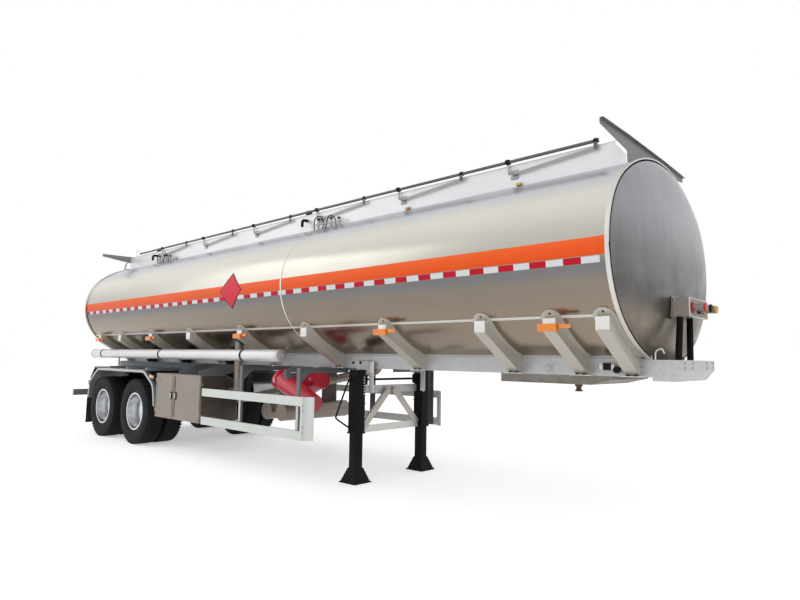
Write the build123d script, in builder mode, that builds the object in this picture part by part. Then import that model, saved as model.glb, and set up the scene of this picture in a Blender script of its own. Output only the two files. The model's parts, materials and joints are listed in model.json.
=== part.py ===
from build123d import *
import os
from math import atan2, cos, degrees, hypot, radians, sin, sqrt

# Tank semi-trailer with two axles, parked on its wheels and landing legs.
# Millimetres. +X is forward, +Y is left, +Z is up; the origin is on the ground below the
# middle of the overall length and width.

# Overall
LENGTH = 11000.0
WIDTH = 2480.0
FRONT_X = LENGTH / 2
REAR_X = -LENGTH / 2
SEAT = 0.3
SIDES = (("right", -1), ("left", 1))

# Tank barrel: oval section of four tangent arcs
TANK_FRONT_SETBACK = 390.0
TANK_REAR_SETBACK = 355.0
TANK_FRONT_X = FRONT_X - TANK_FRONT_SETBACK
TANK_LENGTH = LENGTH - TANK_FRONT_SETBACK - TANK_REAR_SETBACK
TANK_REAR_X = TANK_FRONT_X - TANK_LENGTH
TANK_SIDE_INSET = 18.0
TANK_HALF_WIDTH = WIDTH / 2 - TANK_SIDE_INSET
TANK_HALF_HEIGHT = 905.0
TANK_SIDE_RADIUS = 760.0
TANK_Z = 2325.0
HEAD_DEPTH = 170.0
HEAD_STEPS = 12
HEAD_LAST_ANGLE = 87.0
RIM_BAND_WIDTH = 45.0
RIM_BAND_GROW = 10.0
WELD_RING_X = 1080.0
WELD_RING_WIDTH = 14.0
WELD_RING_GROW = 2.5
SEAM_Z = 1800.0
SEAM_DEPTH = 5.0
SEAM_HEIGHT = 10.0

# Coaming and wings on the tank top
COAMING_HALF = 500.0
COAMING_RISE = 145.0
COAMING_WALL = 5.0
COAMING_FLANGE = 45.0
COAMING_FRONT_X = 5000.0
COAMING_REAR_X = -5000.0
COAMING_NOSE_SLOPE = 110.0
WING_WALL = 6.0
WING_DEPTH = 70.0
WING_FLANGE = 26.0
WING_ABOVE_COAMING = 25.0
WING_HALF = 1035.0
WING_TIP_HEIGHT = 62.0
WING_TOP_FALL = 12.4
WING_NECK_HALF = 470.0
WING_NECK_DROP = 132.0
WALKWAY_DROP = 125.0
WALKWAY_WALL = 4.0
WALKWAY_INNER = 330.0
WALKWAY_GAP = 12.0
WALKWAY_RIB_PITCH = 800.0

# Manholes
MANHOLE_X = (3300.0, 200.0, -3000.0)
COLLAR_R = 265.0
COLLAR_RISE = 42.0
COVER_R = 290.0
COVER_WALL = 14.0
NECK_R = 125.0
NECK_WALL = 8.0
NECK_HEIGHT = 34.0
LID_R = 140.0
LID_WALL = 14.0
LID_GAP = 0.5
LID_HINGE_R = 168.0
LID_EAR_WIDTH = 60.0
LID_EYE_R = 14.0
LID_EYE_WIDTH = 30.0
LID_PIN_R = 7.0
LID_DOME_STEP = 30.0

# Handrail, folded down: each post turns on a pin at its bracket
RAIL_TUBE_R = 16.0
RAIL_ABOVE_COAMING = 27.0
RAIL_FRONT_X = 4760.0
RAIL_REAR_X = -4460.0
POST_COUNT = 6
POST_FRONT_X = 3900.0
POST_PITCH = 1480.0
POST_REACH = 850.0
POST_FOOT_DROP = 105.0
POST_HEAD_DROP = 30.0
POST_R = 10.0
POST_EYE_R = 18.0
POST_EYE_WIDTH = 12.0
PIN_R = 8.0
PIN_PLAY = 0.05
POST_Y = -(COAMING_HALF + 30.0)
LUG_WALL = 8.0
BRACKET_LENGTH = 60.0
BRACKET_HEIGHT = 70.0
LUG_PLAY = 2.0

# Frame
FRAME_HALF = 430.0
FRAME_WIDTH = 80.0
FRAME_WALL = 8.0
FRAME_BOTTOM_Z = 1317.0
FRAME_REAR_X = -5000.0
BUMPER_FRONT_X = 5396.0
BUMPER_REAR_X = 5148.0
BUMPER_TOP_Z = 1463.0
BUMPER_BOTTOM_Z = 1287.0
BUMPER_WALL = 6.0
BUMPER_CHAMFER_X = 70.0
BUMPER_CHAMFER_Z = 88.0
RAIL_LIP_WIDTH = 38.0
RAIL_LIP_WALL = 8.0
CROSS_MEMBER_X = (4500.0, 3300.0, 2000.0, 700.0, -700.0, -2200.0, -3450.0, -4700.0)
CROSS_MEMBER_WIDTH = 60.0
CROSS_MEMBER_HEIGHT = 90.0

# Saddle arms, one pair at each station
ARM_X = (5005.0, 4555.0, 3870.0, 2652.0, 1350.0, -30.0, -1420.0, -2680.0, -3900.0, -4800.0)
ARM_WIDTH = 116.0
ARM_PAD_WIDTH = 160.0
ARM_PAD_WALL = RAIL_LIP_WALL
ARM_TOP_Z = 1855.0
ARM_BOX_TOP_Z = 1790.0
ARM_BOX_STUB = 108.0
ARM_STAND_OFF = 62.0
ARM_SHOE_WALL = 10.0
ARM_SHOE_REACH = 40.0

# Coupler
COUPLER_REAR_X = 3690.0
COUPLER_FRONT_X = 4610.0
COUPLER_NOSE_X = 4810.0
COUPLER_BOTTOM_Z = 1235.0
COUPLER_NOSE_RISE = 50.0
COUPLER_HALF = 430.0
KINGPIN_X = 4300.0
KINGPIN_R = 25.4
KINGPIN_NECK = 35.0
KINGPIN_COLLAR_R = 36.5
KINGPIN_COLLAR = 35.0
KINGPIN_FOOT_R = 35.7
KINGPIN_FOOT = 14.0

# Landing legs
LEG_X = 1794.0
LEG_Y = 587.0
LEG_TUBE = 145.0
LEG_TOP_Z = 1300.0
LEG_TUBE_BOTTOM_Z = 560.0
LEG_INNER = 118.0
LEG_CORNER_R = 13.0
FOOT_TOP_Z = 165.0
FOOT_SIZE = 270.0
FOOT_NECK = 128.0
FOOT_PLATE = 12.0
GEAR_BOX_Z = 1185.0
GEAR_BOX_HEIGHT = 120.0
GEAR_BOX_DEPTH = 30.0
LEG_MOUNT_WIDTH = 180.0
LEG_MOUNT_WALL = 12.0
LEG_MOUNT_TOP_Z = 1415.0
LEG_MOUNT_BOTTOM_Z = 1256.0
SHAFT_R = 14.0
BRACE_WIDTH = 60.0
BRACE_FOOT_Y = 20.0
BRACE_WALL = 8.0
CROSS_BEAM_TOP_Z = 1115.0
CROSS_BEAM_HEIGHT = 95.0
LOWER_BAR_Z = 600.0
CRANK_R = 10.0
CRANK_KNEE_Y = 920.0
CRANK_KNEE_Z = 755.0
CRANK_END_Z = 612.0
CRANK_BEND_R = 32.0

# Wheels and axles
AXLE_X = (-2800.0, -4100.0)
AXLE_NAMES = ("front", "rear")
TYRE_R = 525.0
TYRE_WIDTH = 275.0
TYRE_BORE_R = 286.0
SHOULDER_INSET = 14.0
DUAL_SPACING = 330.0
WHEEL_FACE_Y = 920.0
RIM_LIP_R = 298.5
RIM_WIDTH = 210.0
RIM_LIP_WALL = 12.0
RIM_WALL = 9.0
RIM_DISC_WALL = 20.0
RIM_BORE_R = 140.5
RIM_OVERLAP = 2.0
HAND_HOLES = 10
HAND_HOLE_R = 24.0
HAND_HOLE_PITCH_R = 215.0
HUB_R = 140.0
HUB_OUT = 115.0
HUB_CAP_R = 92.0
HUB_CORE_R = 100.0
HUB_INSET = 10.0
DRUM_R = 208.0
DRUM_WIDTH = 190.0
DRUM_WALL = 16.0
WHEEL_NUTS = 10
NUT_PITCH_R = 167.5
NUT_R = 16.0
NUT_HEIGHT = 26.0
NUT_SIDES = 6
AXLE_R = 68.0
SPINDLE_R = 45.0
SPINDLE_PLAY = 0.05
SPINDLE_END_Y = 980.0
SPINDLE_END_GAP = 5.0
AXLE_SHOULDER_Y = 690.0
CHAMBER_R = 78.0
CHAMBER_LENGTH = 180.0
CHAMBER_Y = 300.0
SHIELD_WALL = 6.0

# Bogie
BOGIE_HALF = 510.0
BOGIE_BEAM_WIDTH = 90.0
BOGIE_TOP_Z = 1316.7
BOGIE_BOTTOM_Z = 1165.0
BOGIE_FRONT_X = -1480.0
BOGIE_REAR_X = -5150.0
SPRING_WIDTH = 90.0
LEAF_WALL = 14.0
LEAVES = 5
LEAF_HALF = 520.0
LEAF_STEP = 85.0
LEAF_RISE = 55.0
SPRING_SEAT = 22.0
HANGER_WIDTH = 98.0
HANGER_LENGTH = 130.0
HANGER_REACH = 50.0
CROSS_TUBE_R = 45.0

# Fenders and mudflaps
FENDER_Y_OUT = 1240.0
FENDER_Y_IN = 570.0
FENDER_WALL = 4.0
FENDER_TOP_Z = 1195.0
FENDER_FRONT_X = -2035.0
FENDER_REAR_X = -4740.0
FENDER_CORNER_R = 250.0
FENDER_FRONT_Z = 660.0
FENDER_REAR_Z = 640.0
FENDER_LIP = 38.0
FENDER_TUCK = 70.0
FENDER_SHOULDER = 420.0
FENDER_TUBE_R = 20.0
FENDER_TUBE_X = (-2700.0, -3450.0, -4200.0)
FLAP_WALL = 10.0
FLAP_BOTTOM_Z = 190.0

# Side guards
GUARD_Y = 1240.0
GUARD_RAIL_WALL = 28.0
GUARD_FRONT_X = 1690.0
GUARD_POST_WIDTH = 130.0
GUARD_POST_BEND = 95.0
GUARD_REAR_X = {"right": -615.0, "left": -1950.0}
GUARD_UPPER_Z = 940.0
GUARD_LOWER_Z = 558.0
GUARD_RAIL_HEIGHT = 104.0
GUARD_STATIONS = {"right": (260.0, 1440.0), "left": (-1300.0, 260.0, 1440.0)}
GUARD_BRACKET_WIDTH = 60.0
GUARD_BRACKET_WALL = 6.0

# Valve cabinet
CABINET_REAR_X = -2010.0
CABINET_FRONT_X = -680.0
CABINET_SPLIT_X = -1440.0
CABINET_Y_OUT = 1216.0
CABINET_Y_IN = 640.0
CABINET_TOP_Z = 1165.0
CABINET_BOTTOM_Z = 508.0
CABINET_WALL = 4.0
CABINET_CHAMFER_Y = 190.0
CABINET_CHAMFER_Z = 100.0
CABINET_HANGER_X = (-1330.0, -760.0)
CABINET_HANGER_WIDTH = 60.0
CABINET_HANGER_WALL = 8.0
DOOR_WALL = 16.0
DOOR_GAP = 5.0
DOOR_PIN_R = 4.0
DOOR_BARREL_R = 7.5
DOOR_BARREL_LENGTH = 34.0
DOOR_HINGE_OUT = 8.0
DOOR_HINGE_FROM_END = 110.0
DOOR_LEAF_REACH = 45.0
DOOR_STRAP_LENGTH = 130.0
DOOR_STRAP_WALL = 4.0

# Discharge pipes
PIPE_R = 55.0
PIPE_PLAY = 3.0
PIPE_BEND_R = 110.0
RISER_Y = 760.0
RISER_X = -500.0
RISER_FOOT_Z = 940.0
OUTLET_X = (-1800.0, -1200.0)
OUTLET_REACH = 190.0
OUTLET_CAP = 45.0
OUTLET_CAP_R = 78.0
LINE_REAR_X = -1000.0
LINE_REAR_Z = 800.0
LINE_Y = 280.0
LINE_FRONT_X = 1850.0
LINE_FRONT_Z = 1300.0

# Extinguisher cases
CASE_R = 125.0
CASE_RIM = 14.0
CASE_LID = 40.0
CASE_LENGTH = 680.0
CASE_X = 760.0
CASE_Z = 1150.0
CASE_Y = 900.0
CASE_LEAN = 24.0
CASE_SPREAD = 370.0
CASE_SHORT_LENGTH = 400.0
CASE_LIFT = 20.0
CASE_GAP = 30.0
CASE_HANGER_WIDTH = 60.0

# Air tanks
AIR_TANK_R = 118.0
AIR_TANK_X = (0.0, 330.0)
AIR_TANK_Z = 700.0
AIR_TANK_END_Y = 600.0
AIR_TANK_LENGTH = 1150.0
AIR_TANK_STRAP = 8.0

# Hose tubes
HOSE_TUBE_Y = 1050.0
HOSE_TUBE_Z = 1455.0
HOSE_TUBE_R = 76.0
HOSE_TUBE_FRONT_X = 900.0
HOSE_TUBE_REAR_X = -5000.0
HOSE_BRACKET_WIDTH = 50.0

# Rear end
UNDERRUN_TOP_Z = 760.0
UNDERRUN_HEIGHT = 112.0
UNDERRUN_DEPTH = 60.0
UNDERRUN_HALF = 1235.0
LAMP_BOARD_X = -5330.0
LAMP_BOARD_TOP_Z = 1200.0
LAMP_BOARD_HEIGHT = 170.0
LAMP_BOARD_HALF = 930.0
LAMP_BOARD_WALL = 5.0

REAR_LAMPS = 3
REAR_LAMP_R = 62.0
REAR_LAMP_DEPTH = 30.0
# in lamp radii: from the board's end to the first lens, and from lens to lens
REAR_LAMP_INSET = 1.5
REAR_LAMP_PITCH = 2.4

# Marker lamps on the saddle arms
MARKER_Z = 1710.0
MARKER_WIDTH = 170.0
MARKER_HEIGHT = 62.0
MARKER_DEPTH = 45.0

# Rear ladder
LADDER_X = -5400.0
LADDER_Y = -250.0
LADDER_HALF = 190.0
LADDER_BOTTOM_Z = 800.0
LADDER_TOP_Z = 3340.0
LADDER_BEND_R = 180.0
LADDER_TUBE_R = 19.0
LADDER_RUNG_R = 12.0
LADDER_PITCH = 290.0
LADDER_RUNGS = 8

# Connector box on the front head
CONNECTOR_Z = 1905.0
CONNECTOR_WIDTH = 520.0
CONNECTOR_HEIGHT = 160.0
CONNECTOR_REAR_X = 5200.0
CONNECTOR_FRONT_X = 5400.0
CONNECTOR_FLANGE_X = 5265.0
CONNECTOR_FLANGE = 18.0
CONNECTOR_WALL = 8.0
COUPLING_Y = (-160.0, 0.0, 160.0)
COUPLING_R = 32.0
CONNECTOR_HOSE_X = 5320.0
HOSE_R = 26.0
HOSE_TABLE = (
    # y at the box, y at the bumper beam
    (-250.0, -390.0),
    (20.0, -90.0),
)

# Valves on the tank top
TOP_VALVE_X = (650.0, -3800.0)
TOP_VALVE_R = 40.0
TOP_VALVE_HEIGHT = 60.0
TOP_VALVE_REACH = 90.0
LOOP_START_DROP = 85.0
LOOP_END_DROP = 180.0

os.makedirs("parts", exist_ok=True)

# Heights on the tank top, all counted from the barrel's crown
TANK_TOP_Z = TANK_Z + TANK_HALF_HEIGHT
COAMING_TOP_Z = TANK_TOP_Z + COAMING_RISE
WING_TOP_Z = COAMING_TOP_Z + WING_ABOVE_COAMING
WING_NECK_Z = WING_TOP_Z - WING_NECK_DROP
WALKWAY_Z = COAMING_TOP_Z - WALKWAY_DROP
COLLAR_TOP_Z = TANK_TOP_Z + COLLAR_RISE
RAIL_Z = COAMING_TOP_Z + RAIL_ABOVE_COAMING
POST_FOOT_Z = COAMING_TOP_Z - POST_FOOT_DROP
POST_HEAD_Z = COAMING_TOP_Z - POST_HEAD_DROP


# Tank section

SIDE_CENTRE_Y = TANK_HALF_WIDTH - TANK_SIDE_RADIUS
CROWN_RADIUS = (SIDE_CENTRE_Y**2 + TANK_HALF_HEIGHT**2 - TANK_SIDE_RADIUS**2) / (
    2 * (TANK_HALF_HEIGHT - TANK_SIDE_RADIUS)
)
CROWN_DROP = CROWN_RADIUS - TANK_HALF_HEIGHT
TANGENT_ANGLE = atan2(CROWN_DROP, SIDE_CENTRE_Y)


def across(x, z=0.0):
    """A plane across the vehicle at x: its axes are the vehicle's Y and Z."""
    return Plane(origin=(x, 0, z), x_dir=(0, 1, 0), z_dir=(1, 0, 0))


def along(y):
    """An upright plane along the vehicle at y: its axes are X and Z, and it faces right."""
    return Plane(origin=(0, y, 0), x_dir=(1, 0, 0), z_dir=(0, -1, 0))


def tank_section(grow=0.0, scale_by=1.0):
    """The oval of four tangent arcs, grown outwards or scaled about its centre."""
    half_width = (TANK_HALF_WIDTH + grow) * scale_by
    half_height = (TANK_HALF_HEIGHT + grow) * scale_by
    side_radius = (TANK_SIDE_RADIUS + grow) * scale_by
    side_centre = SIDE_CENTRE_Y * scale_by
    tangent_y = side_centre + side_radius * cos(TANGENT_ANGLE)
    tangent_z = side_radius * sin(TANGENT_ANGLE)
    with BuildSketch() as section:
        with BuildLine():
            ThreePointArc((tangent_y, -tangent_z), (half_width, 0), (tangent_y, tangent_z))
            ThreePointArc((tangent_y, tangent_z), (0, half_height), (-tangent_y, tangent_z))
            ThreePointArc((-tangent_y, tangent_z), (-half_width, 0), (-tangent_y, -tangent_z))
            ThreePointArc((-tangent_y, -tangent_z), (0, -half_height), (tangent_y, -tangent_z))
        make_face()
    return section.sketch


def tank_half_width_at(z):
    """Half the tank's width at height z."""
    rise = abs(z - TANK_Z)
    if rise <= TANK_SIDE_RADIUS * sin(TANGENT_ANGLE):
        return SIDE_CENTRE_Y + sqrt(TANK_SIDE_RADIUS**2 - rise**2)
    return sqrt(CROWN_RADIUS**2 - (rise + CROWN_DROP) ** 2)


def tank_rise_at(y):
    """How far the tank's surface stands above or below its centre line at y."""
    offset = abs(y)
    if offset <= SIDE_CENTRE_Y + TANK_SIDE_RADIUS * cos(TANGENT_ANGLE):
        return sqrt(CROWN_RADIUS**2 - offset**2) - CROWN_DROP
    return sqrt(TANK_SIDE_RADIUS**2 - (offset - SIDE_CENTRE_Y) ** 2)


BAND_TABLE = (
    # rear x, width, growth
    (TANK_REAR_X, RIM_BAND_WIDTH, RIM_BAND_GROW),
    (WELD_RING_X, WELD_RING_WIDTH, WELD_RING_GROW),
    (TANK_FRONT_X - RIM_BAND_WIDTH, RIM_BAND_WIDTH, RIM_BAND_GROW),
)


def tank_barrel(gap=0.0):
    """The barrel with its bands, all grown outwards by a gap."""
    with BuildPart() as barrel:
        with BuildSketch(across(TANK_REAR_X - gap, TANK_Z)):
            add(tank_section(grow=gap))
        extrude(amount=TANK_LENGTH + 2 * gap)
        for rear_x, width, grow in BAND_TABLE:
            with BuildSketch(across(rear_x - gap, TANK_Z)):
                add(tank_section(grow=grow + gap))
            extrude(amount=width + 2 * gap)
        seam_y = tank_half_width_at(SEAM_Z)
        with BuildSketch(across(TANK_REAR_X - gap)):
            with Locations((-seam_y, SEAM_Z), (seam_y, SEAM_Z)):
                Rectangle(2 * (SEAM_DEPTH + gap), SEAM_HEIGHT + 2 * gap)
        extrude(amount=TANK_LENGTH + 2 * gap)
    return barrel.part


def domed_head(end_x, outwards, gap=0.0):
    """A shallow dome on one end of the barrel, grown by a gap."""
    with BuildPart() as dome:
        for step in range(HEAD_STEPS + 1):
            angle = radians(HEAD_LAST_ANGLE) * step / HEAD_STEPS
            bulge = (HEAD_DEPTH + gap) * sin(angle)
            with BuildSketch(across(end_x + outwards * (SEAT + bulge), TANK_Z)):
                add(tank_section(grow=gap, scale_by=cos(angle)))
        loft()
    return dome.part


# Tank shell: barrel, end bands and one weld ring
with BuildPart() as tank_shell:
    add(tank_barrel())
tank_shell.part.label = "tank_shell"
export_step(tank_shell.part, "parts/tank_shell.step")

# Tank heads: shallow domes seated on the barrel's two ends
with BuildPart() as tank_heads:
    for end_x, outwards in ((TANK_FRONT_X, 1), (TANK_REAR_X, -1)):
        add(domed_head(end_x, outwards))
tank_heads.part.label = "tank_heads"
export_step(tank_heads.part, "parts/tank_heads.step")

tank_clearance = tank_barrel(SEAT)
head_clearance = domed_head(TANK_FRONT_X, 1, 2 * SEAT)

# Coaming: two folded walls along the tank top
with BuildPart() as top_coaming:
    with BuildSketch(across(COAMING_REAR_X)):
        for _, side in SIDES:
            outer = side * COAMING_HALF
            inner = side * (COAMING_HALF - COAMING_WALL)
            fold = side * (COAMING_HALF - COAMING_FLANGE)
            foot_z = TANK_Z + tank_rise_at(COAMING_HALF) - COAMING_FLANGE
            with BuildLine():
                Polyline(
                    (outer, foot_z),
                    (outer, COAMING_TOP_Z),
                    (fold, COAMING_TOP_Z),
                    (fold, COAMING_TOP_Z - COAMING_WALL),
                    (inner, COAMING_TOP_Z - COAMING_WALL),
                    (inner, foot_z),
                    close=True,
                )
            make_face()
    extrude(amount=COAMING_FRONT_X - COAMING_REAR_X)
    with BuildSketch(along(0)):
        with BuildLine():
            Polyline(
                (COAMING_FRONT_X, TANK_Z + TANK_HALF_HEIGHT),
                (COAMING_FRONT_X, COAMING_TOP_Z + COAMING_WALL),
                (COAMING_FRONT_X - COAMING_NOSE_SLOPE, COAMING_TOP_Z + COAMING_WALL),
                close=True,
            )
        make_face()
    extrude(amount=COAMING_HALF + COAMING_WALL, both=True, mode=Mode.SUBTRACT)
    add(tank_clearance, mode=Mode.SUBTRACT)
top_coaming.part.label = "top_coaming"
export_step(top_coaming.part, "parts/top_coaming.step")

# Walkway: a plate along each side of the tank top, on ribs that stand on the barrel
WALKWAY_OUTER = COAMING_HALF - COAMING_WALL - WALKWAY_GAP
WALKWAY_LENGTH = COAMING_FRONT_X - COAMING_REAR_X - 2 * WING_DEPTH
WALKWAY_RIBS = int(WALKWAY_LENGTH / WALKWAY_RIB_PITCH)
with BuildPart() as walkway:
    middle_x = (COAMING_FRONT_X + COAMING_REAR_X) / 2
    width = WALKWAY_OUTER - WALKWAY_INNER
    for _, side in SIDES:
        middle_y = side * (WALKWAY_OUTER + WALKWAY_INNER) / 2
        with BuildSketch(Plane.XY.offset(WALKWAY_Z)):
            with Locations((middle_x, middle_y)):
                Rectangle(WALKWAY_LENGTH, width)
        extrude(amount=WALKWAY_WALL)
        with BuildSketch(Plane.XY.offset(WALKWAY_Z - TANK_HALF_HEIGHT / 4)):
            with Locations((middle_x, middle_y)):
                with GridLocations(WALKWAY_RIB_PITCH, 0, WALKWAY_RIBS, 1):
                    Rectangle(COAMING_WALL, width)
        extrude(amount=TANK_HALF_HEIGHT / 4)
    add(tank_clearance, mode=Mode.SUBTRACT)
walkway.part.label = "walkway"
export_step(walkway.part, "parts/walkway.step")

# Manholes: collar on the barrel, bolted cover and open fill neck
COLLAR_FOOT_Z = TANK_TOP_Z - COLLAR_R / 2
COVER_TOP_Z = COLLAR_TOP_Z + COVER_WALL
LID_Z = COVER_TOP_Z + NECK_HEIGHT + LID_GAP
LID_HINGE_Z = LID_Z + LID_WALL / 2
with BuildPart() as manhole_covers:
    with Locations([(x, 0, COLLAR_FOOT_Z) for x in MANHOLE_X]):
        Cylinder(
            COLLAR_R,
            COLLAR_TOP_Z - COLLAR_FOOT_Z,
            align=(Align.CENTER, Align.CENTER, Align.MIN),
        )
    add(tank_clearance, mode=Mode.SUBTRACT)
    for x in MANHOLE_X:
        with BuildSketch(Plane.XY.offset(COLLAR_TOP_Z)):
            with Locations((x, 0)):
                Circle(COVER_R)
        extrude(amount=COVER_WALL)
        with BuildSketch(Plane.XY.offset(COVER_TOP_Z)):
            with Locations((x, 0)):
                Circle(NECK_R)
                Circle(NECK_R - NECK_WALL, mode=Mode.SUBTRACT)
        extrude(amount=NECK_HEIGHT)
        with BuildSketch(along(0)):
            with Locations((x - LID_HINGE_R, LID_HINGE_Z)):
                Circle(LID_EYE_R)
            with Locations((x - LID_HINGE_R, (COVER_TOP_Z + LID_HINGE_Z) / 2)):
                Rectangle(2 * LID_EYE_R, LID_HINGE_Z - COVER_TOP_Z)
        extrude(amount=LID_EAR_WIDTH / 2, both=True)
        with Locations((x - LID_HINGE_R, 0, COVER_TOP_Z)):
            Box(
                2 * LID_EYE_R,
                LID_EYE_WIDTH + 2 * LUG_PLAY,
                LID_HINGE_Z + LID_EYE_R - COVER_TOP_Z,
                align=(Align.CENTER, Align.CENTER, Align.MIN),
                mode=Mode.SUBTRACT,
            )
        with BuildSketch(along(0)):
            with Locations((x - LID_HINGE_R, LID_HINGE_Z)):
                Circle(LID_PIN_R)
        extrude(amount=LID_EAR_WIDTH / 2, both=True)
manhole_covers.part.label = "manhole_covers"
export_step(manhole_covers.part, "parts/manhole_covers.step")

# Fill lids, each with an eye that turns on its cover's pin
LID_NAMES = ("front", "middle", "rear")
for lid_name, x in zip(LID_NAMES, MANHOLE_X):
    with BuildPart() as fill_lid:
        with BuildSketch(Plane.XY.offset(LID_Z)):
            with Locations((x, 0)):
                Circle(LID_R)
            with Locations((x - LID_HINGE_R / 2, 0)):
                Rectangle(LID_HINGE_R, LID_EYE_WIDTH)
        extrude(amount=LID_WALL)
        with BuildSketch(Plane.XY.offset(LID_Z + LID_WALL)):
            with Locations((x, 0)):
                Circle(LID_R - LID_DOME_STEP)
        extrude(amount=LID_WALL / 2)
        with BuildSketch(along(0)):
            with Locations((x - LID_HINGE_R, LID_HINGE_Z)):
                Circle(LID_EYE_R)
        extrude(amount=LID_EYE_WIDTH / 2, both=True)
        with BuildSketch(along(0)):
            with Locations((x - LID_HINGE_R, LID_HINGE_Z)):
                Circle(LID_PIN_R + PIN_PLAY)
        extrude(amount=LID_EAR_WIDTH / 2, both=True, mode=Mode.SUBTRACT)
    fill_lid.part.label = f"fill_lid_{lid_name}"
    export_step(fill_lid.part, f"parts/fill_lid_{lid_name}.step")


# Wings: plates across both ends of the coaming, with a neck that closes it
def wing_outline():
    """Half-symmetric outline of a wing's plate in Y and Z, down into the barrel's crown."""
    neck_foot_z = TANK_Z + tank_rise_at(WING_NECK_HALF) - COAMING_FLANGE
    tip_bottom_z = WING_TOP_Z - WING_TIP_HEIGHT
    with BuildSketch() as outline:
        with BuildLine():
            Polyline(
                (WING_NECK_HALF, neck_foot_z),
                (WING_NECK_HALF, WING_NECK_Z),
                (WING_HALF, tip_bottom_z),
                (WING_HALF, WING_TOP_Z - WING_TOP_FALL),
                (WING_NECK_HALF, WING_TOP_Z),
                (-WING_NECK_HALF, WING_TOP_Z),
                (-WING_HALF, WING_TOP_Z - WING_TOP_FALL),
                (-WING_HALF, tip_bottom_z),
                (-WING_NECK_HALF, WING_NECK_Z),
                (-WING_NECK_HALF, neck_foot_z),
                close=True,
            )
        make_face()
    return outline.sketch


with BuildPart() as top_wings:
    for face_x, inwards in ((COAMING_FRONT_X + SEAT, 1), (COAMING_REAR_X - SEAT, -1)):
        with BuildSketch(across(face_x)):
            add(wing_outline())
        extrude(amount=inwards * WING_WALL)
        with BuildSketch(across(face_x + inwards * WING_WALL)):
            add(wing_outline())
            with Locations((0, -WING_WALL)):
                add(wing_outline(), mode=Mode.SUBTRACT)
        extrude(amount=inwards * WING_FLANGE)
    add(tank_clearance, mode=Mode.SUBTRACT)
top_wings.part.label = "top_wings"
export_step(top_wings.part, "parts/top_wings.step")

# Handrail: brackets with pins on the right coaming, six posts, one rail with lugs
POST_X = [POST_FRONT_X - POST_PITCH * station for station in range(POST_COUNT)]
POST_RISE = POST_HEAD_Z - POST_FOOT_Z
POST_LENGTH = hypot(POST_REACH, POST_RISE)
POST_SLOPE = degrees(atan2(POST_RISE, POST_REACH))
with BuildPart() as handrail_brackets:
    for x in POST_X:
        with BuildSketch(along(-COAMING_HALF)):
            with Locations((x, POST_FOOT_Z)):
                Rectangle(BRACKET_LENGTH, BRACKET_HEIGHT)
        extrude(amount=LUG_WALL)
        with BuildSketch(along(-COAMING_HALF)):
            with Locations((x, POST_FOOT_Z)):
                Circle(PIN_R)
        extrude(amount=-POST_Y - COAMING_HALF + POST_EYE_WIDTH)
handrail_brackets.part.label = "handrail_brackets"
export_step(handrail_brackets.part, "parts/handrail_brackets.step")

for station, x in enumerate(POST_X, start=1):
    with BuildPart() as handrail_post:
        with BuildSketch(along(POST_Y + POST_EYE_WIDTH / 2)):
            for eye_x, eye_z in ((x, POST_FOOT_Z), (x + POST_REACH, POST_HEAD_Z)):
                with Locations((eye_x, eye_z)):
                    Circle(POST_EYE_R)
            with Locations(Location((x + POST_REACH / 2, POST_FOOT_Z + POST_RISE / 2), POST_SLOPE)):
                Rectangle(POST_LENGTH, 2 * POST_R)
            for eye_x, eye_z in ((x, POST_FOOT_Z), (x + POST_REACH, POST_HEAD_Z)):
                with Locations((eye_x, eye_z)):
                    Circle(PIN_R + PIN_PLAY, mode=Mode.SUBTRACT)
        extrude(amount=POST_EYE_WIDTH)
    handrail_post.part.label = f"handrail_post_{station}"
    export_step(handrail_post.part, f"parts/handrail_post_{station}.step")

LUG_Y = POST_Y - POST_EYE_WIDTH / 2 - LUG_PLAY
with BuildPart() as handrail_rail:
    with BuildSketch(Plane(origin=(RAIL_REAR_X, POST_Y, RAIL_Z), x_dir=(0, 1, 0), z_dir=(1, 0, 0))):
        Circle(RAIL_TUBE_R)
    extrude(amount=RAIL_FRONT_X - RAIL_REAR_X)
    for x in POST_X:
        with BuildSketch(along(LUG_Y)):
            with Locations((x + POST_REACH, (RAIL_Z + POST_HEAD_Z) / 2)):
                Rectangle(2 * POST_EYE_R, RAIL_Z - POST_HEAD_Z + 2 * POST_EYE_R)
        extrude(amount=LUG_WALL)
        with BuildSketch(along(POST_Y + POST_EYE_WIDTH / 2)):
            with Locations((x + POST_REACH, POST_HEAD_Z)):
                Circle(PIN_R)
        extrude(amount=POST_EYE_WIDTH + LUG_PLAY + LUG_WALL)
        with BuildSketch(along(POST_Y)):
            with Locations((x + POST_REACH, RAIL_Z)):
                Circle(RAIL_TUBE_R + LUG_WALL)
        extrude(amount=POST_Y - LUG_Y + LUG_WALL)
handrail_rail.part.label = "handrail_rail"
export_step(handrail_rail.part, "parts/handrail_rail.step")

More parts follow.
